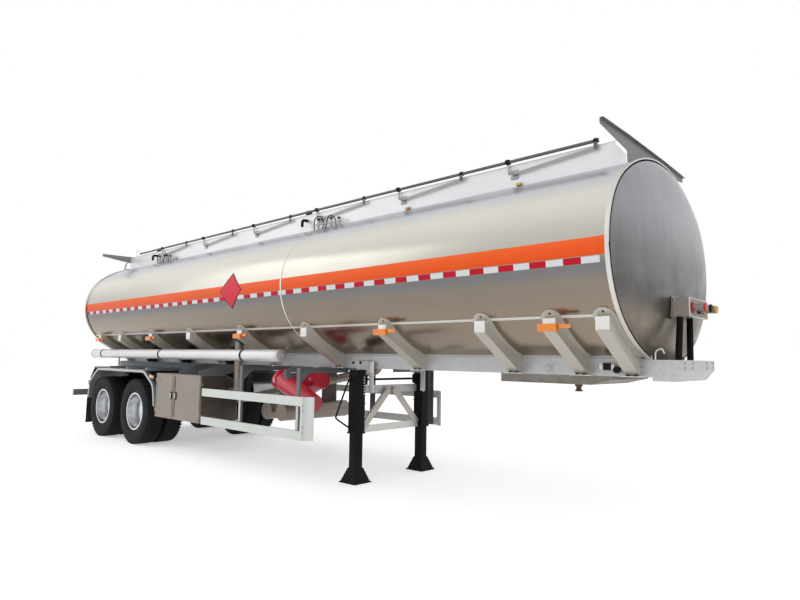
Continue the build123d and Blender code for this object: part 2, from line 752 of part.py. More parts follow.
# Frame rails: two channels with a lip that follows the barrel, and cross members
with BuildPart() as rail_lips:
    with BuildSketch(across(FRAME_REAR_X, TANK_Z)):
        add(tank_section(grow=SEAT + RAIL_LIP_WALL))
        add(tank_section(grow=SEAT), mode=Mode.SUBTRACT)
    extrude(amount=TANK_FRONT_X - FRAME_REAR_X)
    with BuildSketch(Plane.XY.offset(FRAME_BOTTOM_Z)):
        for _, side in SIDES:
            with Locations((0, side * FRAME_HALF)):
                Rectangle(LENGTH, 2 * RAIL_LIP_WIDTH)
    extrude(amount=TANK_Z - FRAME_BOTTOM_Z, mode=Mode.INTERSECT)
with BuildPart() as frame_rails:
    with BuildSketch(across(FRAME_REAR_X)):
        for _, side in SIDES:
            with BuildLine():
                Polyline(
                    (side * FRAME_HALF, FRAME_BOTTOM_Z),
                    (side * FRAME_HALF, TANK_Z - TANK_HALF_HEIGHT / 2),
                    (side * (FRAME_HALF - FRAME_WALL), TANK_Z - TANK_HALF_HEIGHT / 2),
                    (side * (FRAME_HALF - FRAME_WALL), FRAME_BOTTOM_Z + FRAME_WALL),
                    (side * (FRAME_HALF - FRAME_WIDTH), FRAME_BOTTOM_Z + FRAME_WALL),
                    (side * (FRAME_HALF - FRAME_WIDTH), FRAME_BOTTOM_Z),
                    close=True,
                )
            make_face()
    extrude(amount=BUMPER_REAR_X - FRAME_REAR_X)
    with BuildSketch(Plane.XY.offset(FRAME_BOTTOM_Z)):
        for x in CROSS_MEMBER_X:
            with Locations((x, 0)):
                Rectangle(CROSS_MEMBER_WIDTH, 2 * FRAME_HALF - FRAME_WALL)
    extrude(amount=CROSS_MEMBER_HEIGHT)
    add(rail_lips)
    add(tank_clearance, mode=Mode.SUBTRACT)
    add(head_clearance, mode=Mode.SUBTRACT)
frame_rails.part.label = "frame_rails"
export_step(frame_rails.part, "parts/frame_rails.step")

# Saddle arms: a box with a round-topped pad that follows the barrel, one pair at each station
ARM_FOOT_Y = FRAME_HALF + SEAT
ARM_TIP_Y = tank_half_width_at(ARM_BOX_TOP_Z) + ARM_STAND_OFF
ARM_STUB_Z = ARM_BOX_TOP_Z - ARM_BOX_STUB
with BuildPart() as pad_outlines:
    with BuildSketch(along(0)):
        for x in ARM_X:
            with Locations((x, ARM_TOP_Z - ARM_PAD_WIDTH / 2)):
                Circle(ARM_PAD_WIDTH / 2)
            with Locations((x, (ARM_TOP_Z - ARM_PAD_WIDTH / 2 + FRAME_BOTTOM_Z) / 2)):
                Rectangle(ARM_PAD_WIDTH, ARM_TOP_Z - ARM_PAD_WIDTH / 2 - FRAME_BOTTOM_Z)
    extrude(amount=TANK_HALF_WIDTH, both=True)
    with BuildSketch(Plane.XY.offset(FRAME_BOTTOM_Z)):
        Rectangle(LENGTH, 2 * (FRAME_HALF + RAIL_LIP_WIDTH + SEAT))
    extrude(amount=TANK_Z - FRAME_BOTTOM_Z, mode=Mode.SUBTRACT)
with BuildPart() as arm_boxes:
    for _, side in SIDES:
        for x in ARM_X:
            with BuildSketch(across(x - ARM_WIDTH / 2)):
                with BuildLine():
                    Polyline(
                        (side * ARM_FOOT_Y, FRAME_BOTTOM_Z),
                        (side * (ARM_FOOT_Y + ARM_SHOE_REACH), FRAME_BOTTOM_Z),
                        (side * (ARM_FOOT_Y + ARM_SHOE_REACH), FRAME_BOTTOM_Z + ARM_SHOE_WALL),
                        (side * ARM_TIP_Y, ARM_STUB_Z),
                        (side * ARM_TIP_Y, ARM_BOX_TOP_Z),
                        (side * (ARM_TIP_Y - 2 * ARM_STAND_OFF), ARM_BOX_TOP_Z + ARM_STAND_OFF / 2),
                        (side * ARM_FOOT_Y, TANK_Z - TANK_HALF_HEIGHT / 2),
                        close=True,
                    )
                make_face()
            extrude(amount=ARM_WIDTH)
    with BuildSketch(across(ARM_X[-1] - ARM_PAD_WIDTH, TANK_Z)):
        add(tank_section(grow=SEAT + ARM_PAD_WALL))
    extrude(amount=ARM_X[0] - ARM_X[-1] + 2 * ARM_PAD_WIDTH, mode=Mode.SUBTRACT)
with BuildPart() as saddle_arms:
    with BuildSketch(across(ARM_X[-1] - ARM_PAD_WIDTH, TANK_Z)):
        add(tank_section(grow=SEAT + ARM_PAD_WALL))
    extrude(amount=ARM_X[0] - ARM_X[-1] + 2 * ARM_PAD_WIDTH)
    add(pad_outlines, mode=Mode.INTERSECT)
    add(arm_boxes)
    add(tank_clearance, mode=Mode.SUBTRACT)
saddle_arms.part.label = "saddle_arms"
export_step(saddle_arms.part, "parts/saddle_arms.step")

# Front bumper beam: hollow, with a sloped lower front edge
with BuildPart() as front_bumper:
    with BuildSketch(along(FRAME_HALF)):
        with BuildLine():
            Polyline(
                (BUMPER_REAR_X + SEAT, BUMPER_BOTTOM_Z),
                (BUMPER_FRONT_X - BUMPER_CHAMFER_X, BUMPER_BOTTOM_Z),
                (BUMPER_FRONT_X, BUMPER_BOTTOM_Z + BUMPER_CHAMFER_Z),
                (BUMPER_FRONT_X, BUMPER_TOP_Z),
                (BUMPER_REAR_X + SEAT, BUMPER_TOP_Z),
                close=True,
            )
        make_face()
    extrude(amount=2 * FRAME_HALF)
    rear_face = front_bumper.faces().sort_by(Axis.X)[0]
    offset(amount=-BUMPER_WALL, openings=rear_face)
    add(head_clearance, mode=Mode.SUBTRACT)
front_bumper.part.label = "front_bumper"
export_step(front_bumper.part, "parts/front_bumper.step")

# Coupler plate under the frame, with its kingpin
with BuildPart() as coupler_plate:
    with BuildSketch(along(COUPLER_HALF)):
        with BuildLine():
            Polyline(
                (COUPLER_REAR_X, COUPLER_BOTTOM_Z),
                (COUPLER_FRONT_X, COUPLER_BOTTOM_Z),
                (COUPLER_NOSE_X, COUPLER_BOTTOM_Z + COUPLER_NOSE_RISE),
                (COUPLER_NOSE_X, FRAME_BOTTOM_Z),
                (COUPLER_REAR_X, FRAME_BOTTOM_Z),
                close=True,
            )
        make_face()
    extrude(amount=2 * COUPLER_HALF)
coupler_plate.part.label = "coupler_plate"
export_step(coupler_plate.part, "parts/coupler_plate.step")

KINGPIN_PROFILE = (
    # radius, height
    (KINGPIN_COLLAR_R, KINGPIN_COLLAR),
    (KINGPIN_R, KINGPIN_NECK),
    (KINGPIN_FOOT_R, KINGPIN_FOOT),
)
with BuildPart() as kingpin:
    top_z = COUPLER_BOTTOM_Z
    for radius, height in KINGPIN_PROFILE:
        with BuildSketch(Plane.XY.offset(top_z)):
            with Locations((KINGPIN_X, 0)):
                Circle(radius)
        extrude(amount=-height)
        top_z -= height
kingpin.part.label = "kingpin"
export_step(kingpin.part, "parts/kingpin.step")

# Landing legs: square outer tubes, inner tubes and splayed feet
with BuildPart() as landing_legs:
    for _, side in SIDES:
        with BuildSketch(Plane.XY.offset(LEG_TUBE_BOTTOM_Z)):
            with Locations((LEG_X, side * LEG_Y)):
                RectangleRounded(LEG_TUBE, LEG_TUBE, LEG_CORNER_R)
        extrude(amount=LEG_TOP_Z - LEG_TUBE_BOTTOM_Z)
        with BuildSketch(Plane.XY.offset(FOOT_TOP_Z)):
            with Locations((LEG_X, side * LEG_Y)):
                RectangleRounded(LEG_INNER, LEG_INNER, LEG_CORNER_R)
        extrude(amount=LEG_TUBE_BOTTOM_Z - FOOT_TOP_Z)
        with BuildSketch(Plane.XY.offset(FOOT_PLATE)):
            with Locations((LEG_X, side * LEG_Y)):
                Rectangle(FOOT_SIZE - 2 * FOOT_PLATE, FOOT_SIZE - 2 * FOOT_PLATE)
        with BuildSketch(Plane.XY.offset(FOOT_TOP_Z)):
            with Locations((LEG_X, side * LEG_Y)):
                Rectangle(FOOT_NECK, FOOT_NECK)
        loft(ruled=True)
        with BuildSketch(Plane.XY):
            with Locations((LEG_X, side * LEG_Y)):
                Rectangle(FOOT_SIZE, FOOT_SIZE)
        extrude(amount=FOOT_PLATE)
        with BuildSketch(along(side * (LEG_Y - LEG_TUBE / 2))):
            with Locations((LEG_X, GEAR_BOX_Z)):
                Rectangle(LEG_TUBE, GEAR_BOX_HEIGHT)
        extrude(amount=side * GEAR_BOX_DEPTH)
landing_legs.part.label = "landing_legs"
export_step(landing_legs.part, "parts/landing_legs.step")

# Leg mounts: a web and two cheeks between each frame rail and its leg
with BuildPart() as leg_mounts:
    for _, side in SIDES:
        rail_y = FRAME_HALF + SEAT
        leg_y = LEG_Y - LEG_TUBE / 2 - SEAT
        with BuildSketch(across(LEG_X - LEG_MOUNT_WIDTH / 2)):
            with BuildLine():
                Polyline(
                    (side * rail_y, FRAME_BOTTOM_Z),
                    (side * rail_y, LEG_MOUNT_TOP_Z),
                    (side * leg_y, LEG_MOUNT_TOP_Z - LEG_MOUNT_WALL),
                    (side * leg_y, LEG_MOUNT_BOTTOM_Z),
                    (side * (leg_y - LEG_MOUNT_WALL), LEG_MOUNT_BOTTOM_Z),
                    close=True,
                )
            make_face()
        extrude(amount=LEG_MOUNT_WIDTH)
leg_mounts.part.label = "leg_mounts"
export_step(leg_mounts.part, "parts/leg_mounts.step")

# Leg braces: cross beam, V brace, lower bar and gear shaft between the legs
LEG_INSIDE_Y = LEG_Y - LEG_TUBE / 2 - SEAT
with BuildPart() as leg_braces:
    with BuildSketch(across(LEG_X - BRACE_WIDTH / 2)):
        with Locations((0, CROSS_BEAM_TOP_Z - CROSS_BEAM_HEIGHT / 2)):
            Rectangle(2 * LEG_INSIDE_Y, CROSS_BEAM_HEIGHT)
        with Locations((0, LOWER_BAR_Z)):
            Rectangle(2 * LEG_INSIDE_Y, BRACE_WIDTH)
        for _, side in SIDES:
            with BuildLine():
                Polyline(
                    (side * BRACE_FOOT_Y, CROSS_BEAM_TOP_Z - CROSS_BEAM_HEIGHT / 2),
                    (side * (BRACE_FOOT_Y + BRACE_WIDTH), CROSS_BEAM_TOP_Z - CROSS_BEAM_HEIGHT / 2),
                    (side * LEG_INSIDE_Y, LOWER_BAR_Z + BRACE_WIDTH / 2),
                    (side * LEG_INSIDE_Y, LOWER_BAR_Z - BRACE_WIDTH / 2),
                    close=True,
                )
            make_face()
    extrude(amount=BRACE_WALL)
leg_braces.part.label = "leg_braces"
export_step(leg_braces.part, "parts/leg_braces.step")

# Leg crank: folded handle on the right leg, and the shaft that joins the two gear boxes
LEG_OUTSIDE_Y = LEG_Y + LEG_TUBE / 2 + SEAT
with BuildPart() as leg_crank:
    with BuildLine() as crank_path:
        FilletPolyline(
            (LEG_X, -LEG_OUTSIDE_Y, GEAR_BOX_Z),
            (LEG_X, -LEG_OUTSIDE_Y - 2 * CRANK_BEND_R, GEAR_BOX_Z),
            (LEG_X, -CRANK_KNEE_Y, CRANK_KNEE_Z),
            (LEG_X, -LEG_OUTSIDE_Y - CRANK_R, CRANK_END_Z),
            radius=CRANK_BEND_R,
        )
    with BuildSketch(Plane(origin=crank_path.line @ 0, z_dir=crank_path.line % 0)):
        Circle(CRANK_R)
    sweep()
    shaft_half = LEG_INSIDE_Y - GEAR_BOX_DEPTH
    with BuildSketch(along(shaft_half)):
        with Locations((LEG_X, GEAR_BOX_Z)):
            Circle(SHAFT_R)
    extrude(amount=2 * shaft_half)
leg_crank.part.label = "leg_crank"
export_step(leg_crank.part, "parts/leg_crank.step")

# Side guards: two rails a side that end in one rounded post
GUARD_TOP_Z = GUARD_UPPER_Z + GUARD_RAIL_HEIGHT / 2
GUARD_BOTTOM_Z = GUARD_LOWER_Z - GUARD_RAIL_HEIGHT / 2
with BuildPart() as side_guards:
    for side_name, side in SIDES:
        post_x = GUARD_FRONT_X - GUARD_POST_WIDTH
        rear_x = GUARD_REAR_X[side_name]
        inner_y = side * (GUARD_Y - GUARD_RAIL_WALL)
        with BuildSketch(along(inner_y)):
            for z in (GUARD_UPPER_Z, GUARD_LOWER_Z):
                with Locations(((rear_x + post_x) / 2, z)):
                    Rectangle(post_x - rear_x, GUARD_RAIL_HEIGHT)
        extrude(amount=-side * GUARD_RAIL_WALL)
        with BuildSketch(Plane.XY.offset(GUARD_BOTTOM_Z)):
            with BuildLine():
                Line((post_x, inner_y), (post_x, side * GUARD_Y))
                Line((post_x, side * GUARD_Y), (GUARD_FRONT_X - GUARD_POST_BEND, side * GUARD_Y))
                RadiusArc(
                    (GUARD_FRONT_X - GUARD_POST_BEND, side * GUARD_Y),
                    (GUARD_FRONT_X, side * (GUARD_Y - GUARD_POST_BEND)),
                    -side * GUARD_POST_BEND,
                )
                Line(
                    (GUARD_FRONT_X, side * (GUARD_Y - GUARD_POST_BEND)),
                    (GUARD_FRONT_X - GUARD_RAIL_WALL, side * (GUARD_Y - GUARD_POST_BEND)),
                )
                RadiusArc(
                    (GUARD_FRONT_X - GUARD_RAIL_WALL, side * (GUARD_Y - GUARD_POST_BEND)),
                    (GUARD_FRONT_X - GUARD_POST_BEND, inner_y),
                    side * (GUARD_POST_BEND - GUARD_RAIL_WALL),
                )
                Line((GUARD_FRONT_X - GUARD_POST_BEND, inner_y), (post_x, inner_y))
            make_face()
        extrude(amount=GUARD_TOP_Z - GUARD_BOTTOM_Z)
side_guards.part.label = "side_guards"
export_step(side_guards.part, "parts/side_guards.step")

# Guard brackets: an upright with an outrigger to the frame at each station
BRACKET_OUT_Y = GUARD_Y - GUARD_RAIL_WALL - SEAT
BRACKET_IN_Y = FRAME_HALF - FRAME_WIDTH / 4
BRACKET_TOP_Z = FRAME_BOTTOM_Z - SEAT
ARM_BOTTOM_Z = BRACKET_TOP_Z - GUARD_BRACKET_WIDTH
GUSSET_BOTTOM_Z = BRACKET_TOP_Z - 3 * GUARD_BRACKET_WIDTH
with BuildPart() as guard_brackets:
    for side_name, side in SIDES:
        for x in GUARD_STATIONS[side_name]:
            with BuildSketch(across(x)):
                with BuildLine():
                    Polyline(
                        (side * BRACKET_OUT_Y, GUARD_BOTTOM_Z),
                        (side * BRACKET_OUT_Y, BRACKET_TOP_Z),
                        (side * BRACKET_IN_Y, BRACKET_TOP_Z),
                        (side * BRACKET_IN_Y, ARM_BOTTOM_Z),
                        (side * (BRACKET_OUT_Y - 3 * GUARD_BRACKET_WIDTH), ARM_BOTTOM_Z),
                        (side * (BRACKET_OUT_Y - GUARD_BRACKET_WIDTH), GUSSET_BOTTOM_Z),
                        (side * (BRACKET_OUT_Y - GUARD_BRACKET_WIDTH), GUARD_BOTTOM_Z),
                        close=True,
                    )
                make_face()
            extrude(amount=GUARD_BRACKET_WALL)
            with BuildSketch(across(x)):
                post_y = side * (BRACKET_OUT_Y - GUARD_BRACKET_WALL / 2)
                with Locations((post_y, (BRACKET_TOP_Z + GUARD_BOTTOM_Z) / 2)):
                    Rectangle(GUARD_BRACKET_WALL, BRACKET_TOP_Z - GUARD_BOTTOM_Z)
                arm_y = side * (BRACKET_OUT_Y + BRACKET_IN_Y) / 2
                with Locations((arm_y, BRACKET_TOP_Z - GUARD_BRACKET_WALL / 2)):
                    Rectangle(BRACKET_OUT_Y - BRACKET_IN_Y, GUARD_BRACKET_WALL)
            extrude(amount=GUARD_BRACKET_WIDTH)
guard_brackets.part.label = "guard_brackets"
export_step(guard_brackets.part, "parts/guard_brackets.step")

# Valve cabinet: open towards the right, with holes for the pipes that leave it
DOOR_HINGE_Y = -(CABINET_Y_OUT + SEAT + DOOR_WALL)
DOOR_HINGE_Z = (CABINET_BOTTOM_Z + DOOR_HINGE_FROM_END, CABINET_TOP_Z - DOOR_HINGE_FROM_END)
DOOR_TABLE = (
    # name, way out of its hinge, rear x, front x, hinge x
    ("rear", -1, CABINET_REAR_X + DOOR_GAP, CABINET_SPLIT_X - DOOR_GAP / 2, CABINET_REAR_X),
    ("front", 1, CABINET_SPLIT_X + DOOR_GAP / 2, CABINET_FRONT_X - DOOR_GAP, CABINET_FRONT_X),
)
with BuildPart() as valve_cabinet:
    with BuildSketch(across(CABINET_REAR_X)):
        with BuildLine():
            Polyline(
                (-CABINET_Y_OUT, CABINET_BOTTOM_Z),
                (-CABINET_Y_OUT, CABINET_TOP_Z),
                (-CABINET_Y_IN - CABINET_CHAMFER_Y, CABINET_TOP_Z),
                (-CABINET_Y_IN, CABINET_TOP_Z - CABINET_CHAMFER_Z),
                (-CABINET_Y_IN, CABINET_BOTTOM_Z),
                close=True,
            )
        make_face()
    extrude(amount=CABINET_FRONT_X - CABINET_REAR_X)
    outer_face = valve_cabinet.faces().sort_by(Axis.Y)[0]
    offset(amount=-CABINET_WALL, openings=outer_face)
    with BuildSketch(across(CABINET_FRONT_X)):
        with Locations((-RISER_Y, RISER_FOOT_Z)):
            Circle(PIPE_R + PIPE_PLAY)
    extrude(amount=-2 * CABINET_WALL, mode=Mode.SUBTRACT)
    with BuildSketch(along(-CABINET_Y_IN)):
        with Locations((LINE_REAR_X, LINE_REAR_Z)):
            Circle(PIPE_R + PIPE_PLAY)
    extrude(amount=2 * CABINET_WALL, mode=Mode.SUBTRACT)
    for _, out, _, _, hinge_x in DOOR_TABLE:
        for hinge_z in DOOR_HINGE_Z:
            with BuildSketch(Plane.XY.offset(hinge_z - DOOR_BARREL_LENGTH)):
                with Locations((hinge_x + out * DOOR_HINGE_OUT, DOOR_HINGE_Y)):
                    Circle(DOOR_BARREL_R)
                with Locations((hinge_x + out * DOOR_HINGE_OUT / 4, DOOR_HINGE_Y + DOOR_LEAF_REACH / 2)):
                    Rectangle(DOOR_HINGE_OUT / 2, DOOR_LEAF_REACH)
            extrude(amount=DOOR_BARREL_LENGTH - SEAT)
            with BuildSketch(Plane.XY.offset(hinge_z - SEAT)):
                with Locations((hinge_x + out * DOOR_HINGE_OUT, DOOR_HINGE_Y)):
                    Circle(DOOR_PIN_R)
            extrude(amount=DOOR_BARREL_LENGTH)
valve_cabinet.part.label = "valve_cabinet"
export_step(valve_cabinet.part, "parts/valve_cabinet.step")

# Cabinet doors: each turns about upright pins beside its outer edge
STRAP_SPAN = DOOR_STRAP_LENGTH + DOOR_HINGE_OUT
for door_name, out, rear_x, front_x, hinge_x in DOOR_TABLE:
    pin_x = hinge_x + out * DOOR_HINGE_OUT
    with BuildPart() as cabinet_door:
        with BuildSketch(along(-CABINET_Y_OUT - SEAT)):
            with Locations(((rear_x + front_x) / 2, (CABINET_TOP_Z + CABINET_BOTTOM_Z) / 2)):
                Rectangle(front_x - rear_x, CABINET_TOP_Z - CABINET_BOTTOM_Z)
        extrude(amount=DOOR_WALL)
        for hinge_z in DOOR_HINGE_Z:
            with BuildSketch(Plane.XY.offset(hinge_z)):
                with Locations((pin_x, DOOR_HINGE_Y)):
                    Circle(DOOR_BARREL_R)
                with Locations((pin_x - out * STRAP_SPAN / 2, DOOR_HINGE_Y - DOOR_STRAP_WALL / 2)):
                    Rectangle(STRAP_SPAN, DOOR_STRAP_WALL)
            extrude(amount=DOOR_BARREL_LENGTH)
            with BuildSketch(Plane.XY.offset(hinge_z)):
                with Locations((pin_x, DOOR_HINGE_Y)):
                    Circle(DOOR_PIN_R + PIN_PLAY)
            extrude(amount=DOOR_BARREL_LENGTH, mode=Mode.SUBTRACT)
    cabinet_door.part.label = f"cabinet_door_{door_name}"
    export_step(cabinet_door.part, f"parts/cabinet_door_{door_name}.step")

# Discharge pipes: manifold in the cabinet, riser to the rear compartments, line to the front
with BuildPart() as discharge_pipes:
    with BuildLine() as riser_path:
        FilletPolyline(
            (CABINET_REAR_X + 3 * PIPE_R, -RISER_Y, RISER_FOOT_Z),
            (RISER_X, -RISER_Y, RISER_FOOT_Z),
            (RISER_X, -RISER_Y, TANK_Z - TANK_HALF_HEIGHT / 2),
            radius=PIPE_BEND_R,
        )
    with BuildSketch(Plane(origin=riser_path.line @ 0, z_dir=riser_path.line % 0)):
        Circle(PIPE_R)
    sweep()
    for x in OUTLET_X:
        with BuildSketch(along(-RISER_Y)):
            with Locations((x, RISER_FOOT_Z)):
                Circle(PIPE_R)
        extrude(amount=OUTLET_REACH)
        with BuildSketch(along(-RISER_Y - OUTLET_REACH)):
            with Locations((x, RISER_FOOT_Z)):
                Circle(OUTLET_CAP_R)
        extrude(amount=OUTLET_CAP)
    add(tank_clearance, mode=Mode.SUBTRACT)
    with BuildLine() as line_path:
        FilletPolyline(
            (LINE_REAR_X, -RISER_Y + PIPE_R / 2, LINE_REAR_Z),
            (LINE_REAR_X, -LINE_Y, LINE_REAR_Z),
            (LINE_FRONT_X, -LINE_Y, LINE_FRONT_Z),
            (LINE_FRONT_X, -LINE_Y, TANK_Z - TANK_HALF_HEIGHT + PIPE_R),
            radius=PIPE_BEND_R,
        )
    with BuildSketch(Plane(origin=line_path.line @ 0, z_dir=line_path.line % 0)):
        Circle(PIPE_R)
    sweep()
    add(tank_clearance, mode=Mode.SUBTRACT)
discharge_pipes.part.label = "discharge_pipes"
export_step(discharge_pipes.part, "parts/discharge_pipes.step")

# Extinguisher cases: two crossed cases with domed lids, on a plate under the frame
CASE_TABLE = (
    # lid x, lid z, y, lean in degrees, length
    (CASE_X, CASE_Z, CASE_Y, -CASE_LEAN, CASE_LENGTH),
    (
        CASE_X + CASE_SPREAD,
        CASE_Z + CASE_LIFT,
        CASE_Y - 2 * CASE_R - CASE_GAP,
        180 + CASE_LEAN,
        CASE_SHORT_LENGTH,
    ),
)


def case_bodies(gap=0.0):
    """Both cases with their lids, grown round their axes by a gap."""
    with BuildPart() as bodies:
        for lid_x, lid_z, y, lean, length in CASE_TABLE:
            direction = (cos(radians(lean)), 0, sin(radians(lean)))
            lid_plane = Plane(origin=(lid_x, -y, lid_z), x_dir=(0, 1, 0), z_dir=direction)
            with BuildSketch(lid_plane):
                Circle(CASE_R + gap)
            extrude(amount=length)
            with BuildSketch(lid_plane):
                Circle(CASE_R + CASE_RIM + gap)
            extrude(amount=-CASE_LID)
    return bodies.part


with BuildPart() as extinguisher_cases:
    add(case_bodies())
extinguisher_cases.part.label = "extinguisher_cases"
export_step(extinguisher_cases.part, "parts/extinguisher_cases.step")

# Side hangers: plates over the cabinet's top, and one arm cut to both cases where they cross
with BuildPart() as side_hangers:
    for x in CABINET_HANGER_X:
        with BuildSketch(across(x)):
            with BuildLine():
                Polyline(
                    (-FRAME_HALF + FRAME_WIDTH / 4, FRAME_BOTTOM_Z - SEAT),
                    (-CABINET_Y_IN - CABINET_CHAMFER_Y, FRAME_BOTTOM_Z - SEAT),
                    (-CABINET_Y_OUT, CABINET_TOP_Z + CABINET_HANGER_WIDTH),
                    (-CABINET_Y_OUT, CABINET_TOP_Z + SEAT),
                    (-CABINET_Y_IN - CABINET_CHAMFER_Y, CABINET_TOP_Z + SEAT),
                    (-FRAME_HALF + FRAME_WIDTH / 4, FRAME_BOTTOM_Z - CABINET_HANGER_WIDTH),
                    close=True,
                )
            make_face()
        extrude(amount=CABINET_HANGER_WALL)
    with BuildSketch(across(CASE_X + CASE_SPREAD / 2 - CASE_HANGER_WIDTH / 2)):
        with BuildLine():
            Polyline(
                (-FRAME_HALF + FRAME_WIDTH / 4, FRAME_BOTTOM_Z - SEAT),
                (-CASE_Y, FRAME_BOTTOM_Z - SEAT),
                (-CASE_Y - CASE_R, FRAME_BOTTOM_Z - CASE_HANGER_WIDTH),
                (-CASE_Y - CASE_R / 2, CASE_Z - CASE_R / 2),
                (-CASE_Y + 2 * CASE_R, CASE_Z - CASE_R / 2),
                (-FRAME_HALF + FRAME_WIDTH / 4, FRAME_BOTTOM_Z - CASE_HANGER_WIDTH),
                close=True,
            )
        make_face()
    extrude(amount=CASE_HANGER_WIDTH)
    add(case_bodies(SEAT), mode=Mode.SUBTRACT)
side_hangers.part.label = "side_hangers"
export_step(side_hangers.part, "parts/side_hangers.step")

# Air tanks across the frame, hung on plates from the rails
with BuildPart() as air_tanks:
    for x in AIR_TANK_X:
        with BuildSketch(along(AIR_TANK_LENGTH - AIR_TANK_END_Y)):
            with Locations((x, AIR_TANK_Z)):
                Circle(AIR_TANK_R)
        extrude(amount=AIR_TANK_LENGTH)
    for side in (-1, 1):
        with BuildSketch(along(side * (FRAME_HALF - FRAME_WIDTH / 2))):
            with Locations(((AIR_TANK_X[0] + AIR_TANK_X[1]) / 2, (FRAME_BOTTOM_Z - SEAT + AIR_TANK_Z) / 2)):
                Rectangle(AIR_TANK_X[1] - AIR_TANK_X[0], FRAME_BOTTOM_Z - SEAT - AIR_TANK_Z)
        extrude(amount=AIR_TANK_STRAP)
air_tanks.part.label = "air_tanks"
export_step(air_tanks.part, "parts/air_tanks.step")

# Hose tubes along both flanks# Hose tubes along both flanks
with BuildPart() as hose_tubes:
    for _, side in SIDES:
        with BuildSketch(across(HOSE_TUBE_REAR_X)):
            with Locations((side * HOSE_TUBE_Y, HOSE_TUBE_Z)):
                Circle(HOSE_TUBE_R)
        extrude(amount=HOSE_TUBE_FRONT_X - HOSE_TUBE_REAR_X)
hose_tubes.part.label = "hose_tubes"
export_step(hose_tubes.part, "parts/hose_tubes.step")

# Hose tube brackets: a bar out from each saddle arm to the tube's flank
HOSE_BRACKET_IN_Y = ARM_FOOT_Y + (HOSE_TUBE_Y - ARM_FOOT_Y) / 4
with BuildPart() as hose_tube_brackets:
    for _, side in SIDES:
        for x in ARM_X:
            if HOSE_TUBE_REAR_X < x - ARM_WIDTH and x + ARM_WIDTH < HOSE_TUBE_FRONT_X:
                with BuildSketch(across(x - HOSE_BRACKET_WIDTH / 2)):
                    with Locations((side * (HOSE_BRACKET_IN_Y + HOSE_TUBE_Y) / 2, HOSE_TUBE_Z)):
                        Rectangle(HOSE_TUBE_Y - HOSE_BRACKET_IN_Y, HOSE_BRACKET_WIDTH)
                extrude(amount=HOSE_BRACKET_WIDTH)
        with BuildSketch(across(HOSE_TUBE_REAR_X)):
            with Locations((side * HOSE_TUBE_Y, HOSE_TUBE_Z)):
                Circle(HOSE_TUBE_R + SEAT)
        extrude(amount=HOSE_TUBE_FRONT_X - HOSE_TUBE_REAR_X, mode=Mode.SUBTRACT)
    add(saddle_arms.part, mode=Mode.SUBTRACT)
hose_tube_brackets.part.label = "hose_tube_brackets"
export_step(hose_tube_brackets.part, "parts/hose_tube_brackets.step")

# Bogie frame: two beams under the rails
HANGER_X = (
    AXLE_X[0] + LEAF_HALF + HANGER_REACH,
    (AXLE_X[0] + AXLE_X[1]) / 2,
    AXLE_X[1] - LEAF_HALF - HANGER_REACH,
)
LEAF_BOTTOM_Z = TYRE_R + AXLE_R + SPRING_SEAT
LEAF_RADIUS = (LEAF_HALF**2 + LEAF_RISE**2) / (2 * LEAF_RISE)
LEAF_CENTRE_Z = LEAF_BOTTOM_Z + SEAT + LEAF_RADIUS
LEAF_TOP_Z = LEAF_CENTRE_Z - sqrt((LEAF_RADIUS - LEAVES * LEAF_WALL) ** 2 - LEAF_HALF**2)
with BuildPart() as bogie_frame:
    for _, side in SIDES:
        with BuildSketch(across(BOGIE_REAR_X)):
            with Locations((side * BOGIE_HALF, (BOGIE_TOP_Z + BOGIE_BOTTOM_Z) / 2)):
                Rectangle(FRAME_WALL, BOGIE_TOP_Z - BOGIE_BOTTOM_Z)
            with Locations((side * (BOGIE_HALF - BOGIE_BEAM_WIDTH / 4), BOGIE_TOP_Z - FRAME_WALL / 2)):
                Rectangle(2 * BOGIE_BEAM_WIDTH, FRAME_WALL)
            with Locations((side * BOGIE_HALF, BOGIE_BOTTOM_Z + FRAME_WALL / 2)):
                Rectangle(BOGIE_BEAM_WIDTH, FRAME_WALL)
        extrude(amount=BOGIE_FRONT_X - BOGIE_REAR_X)
bogie_frame.part.label = "bogie_frame"
export_step(bogie_frame.part, "parts/bogie_frame.step")

# Cross tubes between the beams' webs
CROSS_TUBE_HALF = BOGIE_HALF - FRAME_WALL / 2 - SEAT
CROSS_TUBE_Z = BOGIE_BOTTOM_Z + FRAME_WALL + SEAT + CROSS_TUBE_R
with BuildPart() as cross_tubes:
    with BuildSketch(along(CROSS_TUBE_HALF)):
        with Locations([(x, CROSS_TUBE_Z) for x in HANGER_X]):
            Circle(CROSS_TUBE_R)
    extrude(amount=2 * CROSS_TUBE_HALF)
cross_tubes.part.label = "cross_tubes"
export_step(cross_tubes.part, "parts/cross_tubes.step")

# Spring hangers: three tapered blocks a side below the bogie beams
with BuildPart() as spring_hangers:
    for _, side in SIDES:
        for x in HANGER_X:
            with BuildSketch(along(side * BOGIE_HALF)):
                with BuildLine():
                    Polyline(
                        (x - HANGER_LENGTH, BOGIE_BOTTOM_Z - SEAT),
                        (x + HANGER_LENGTH, BOGIE_BOTTOM_Z - SEAT),
                        (x + HANGER_LENGTH / 2, LEAF_TOP_Z + SEAT),
                        (x - HANGER_LENGTH / 2, LEAF_TOP_Z + SEAT),
                        close=True,
                    )
                make_face()
            extrude(amount=HANGER_WIDTH / 2, both=True)
spring_hangers.part.label = "spring_hangers"
export_step(spring_hangers.part, "parts/spring_hangers.step")

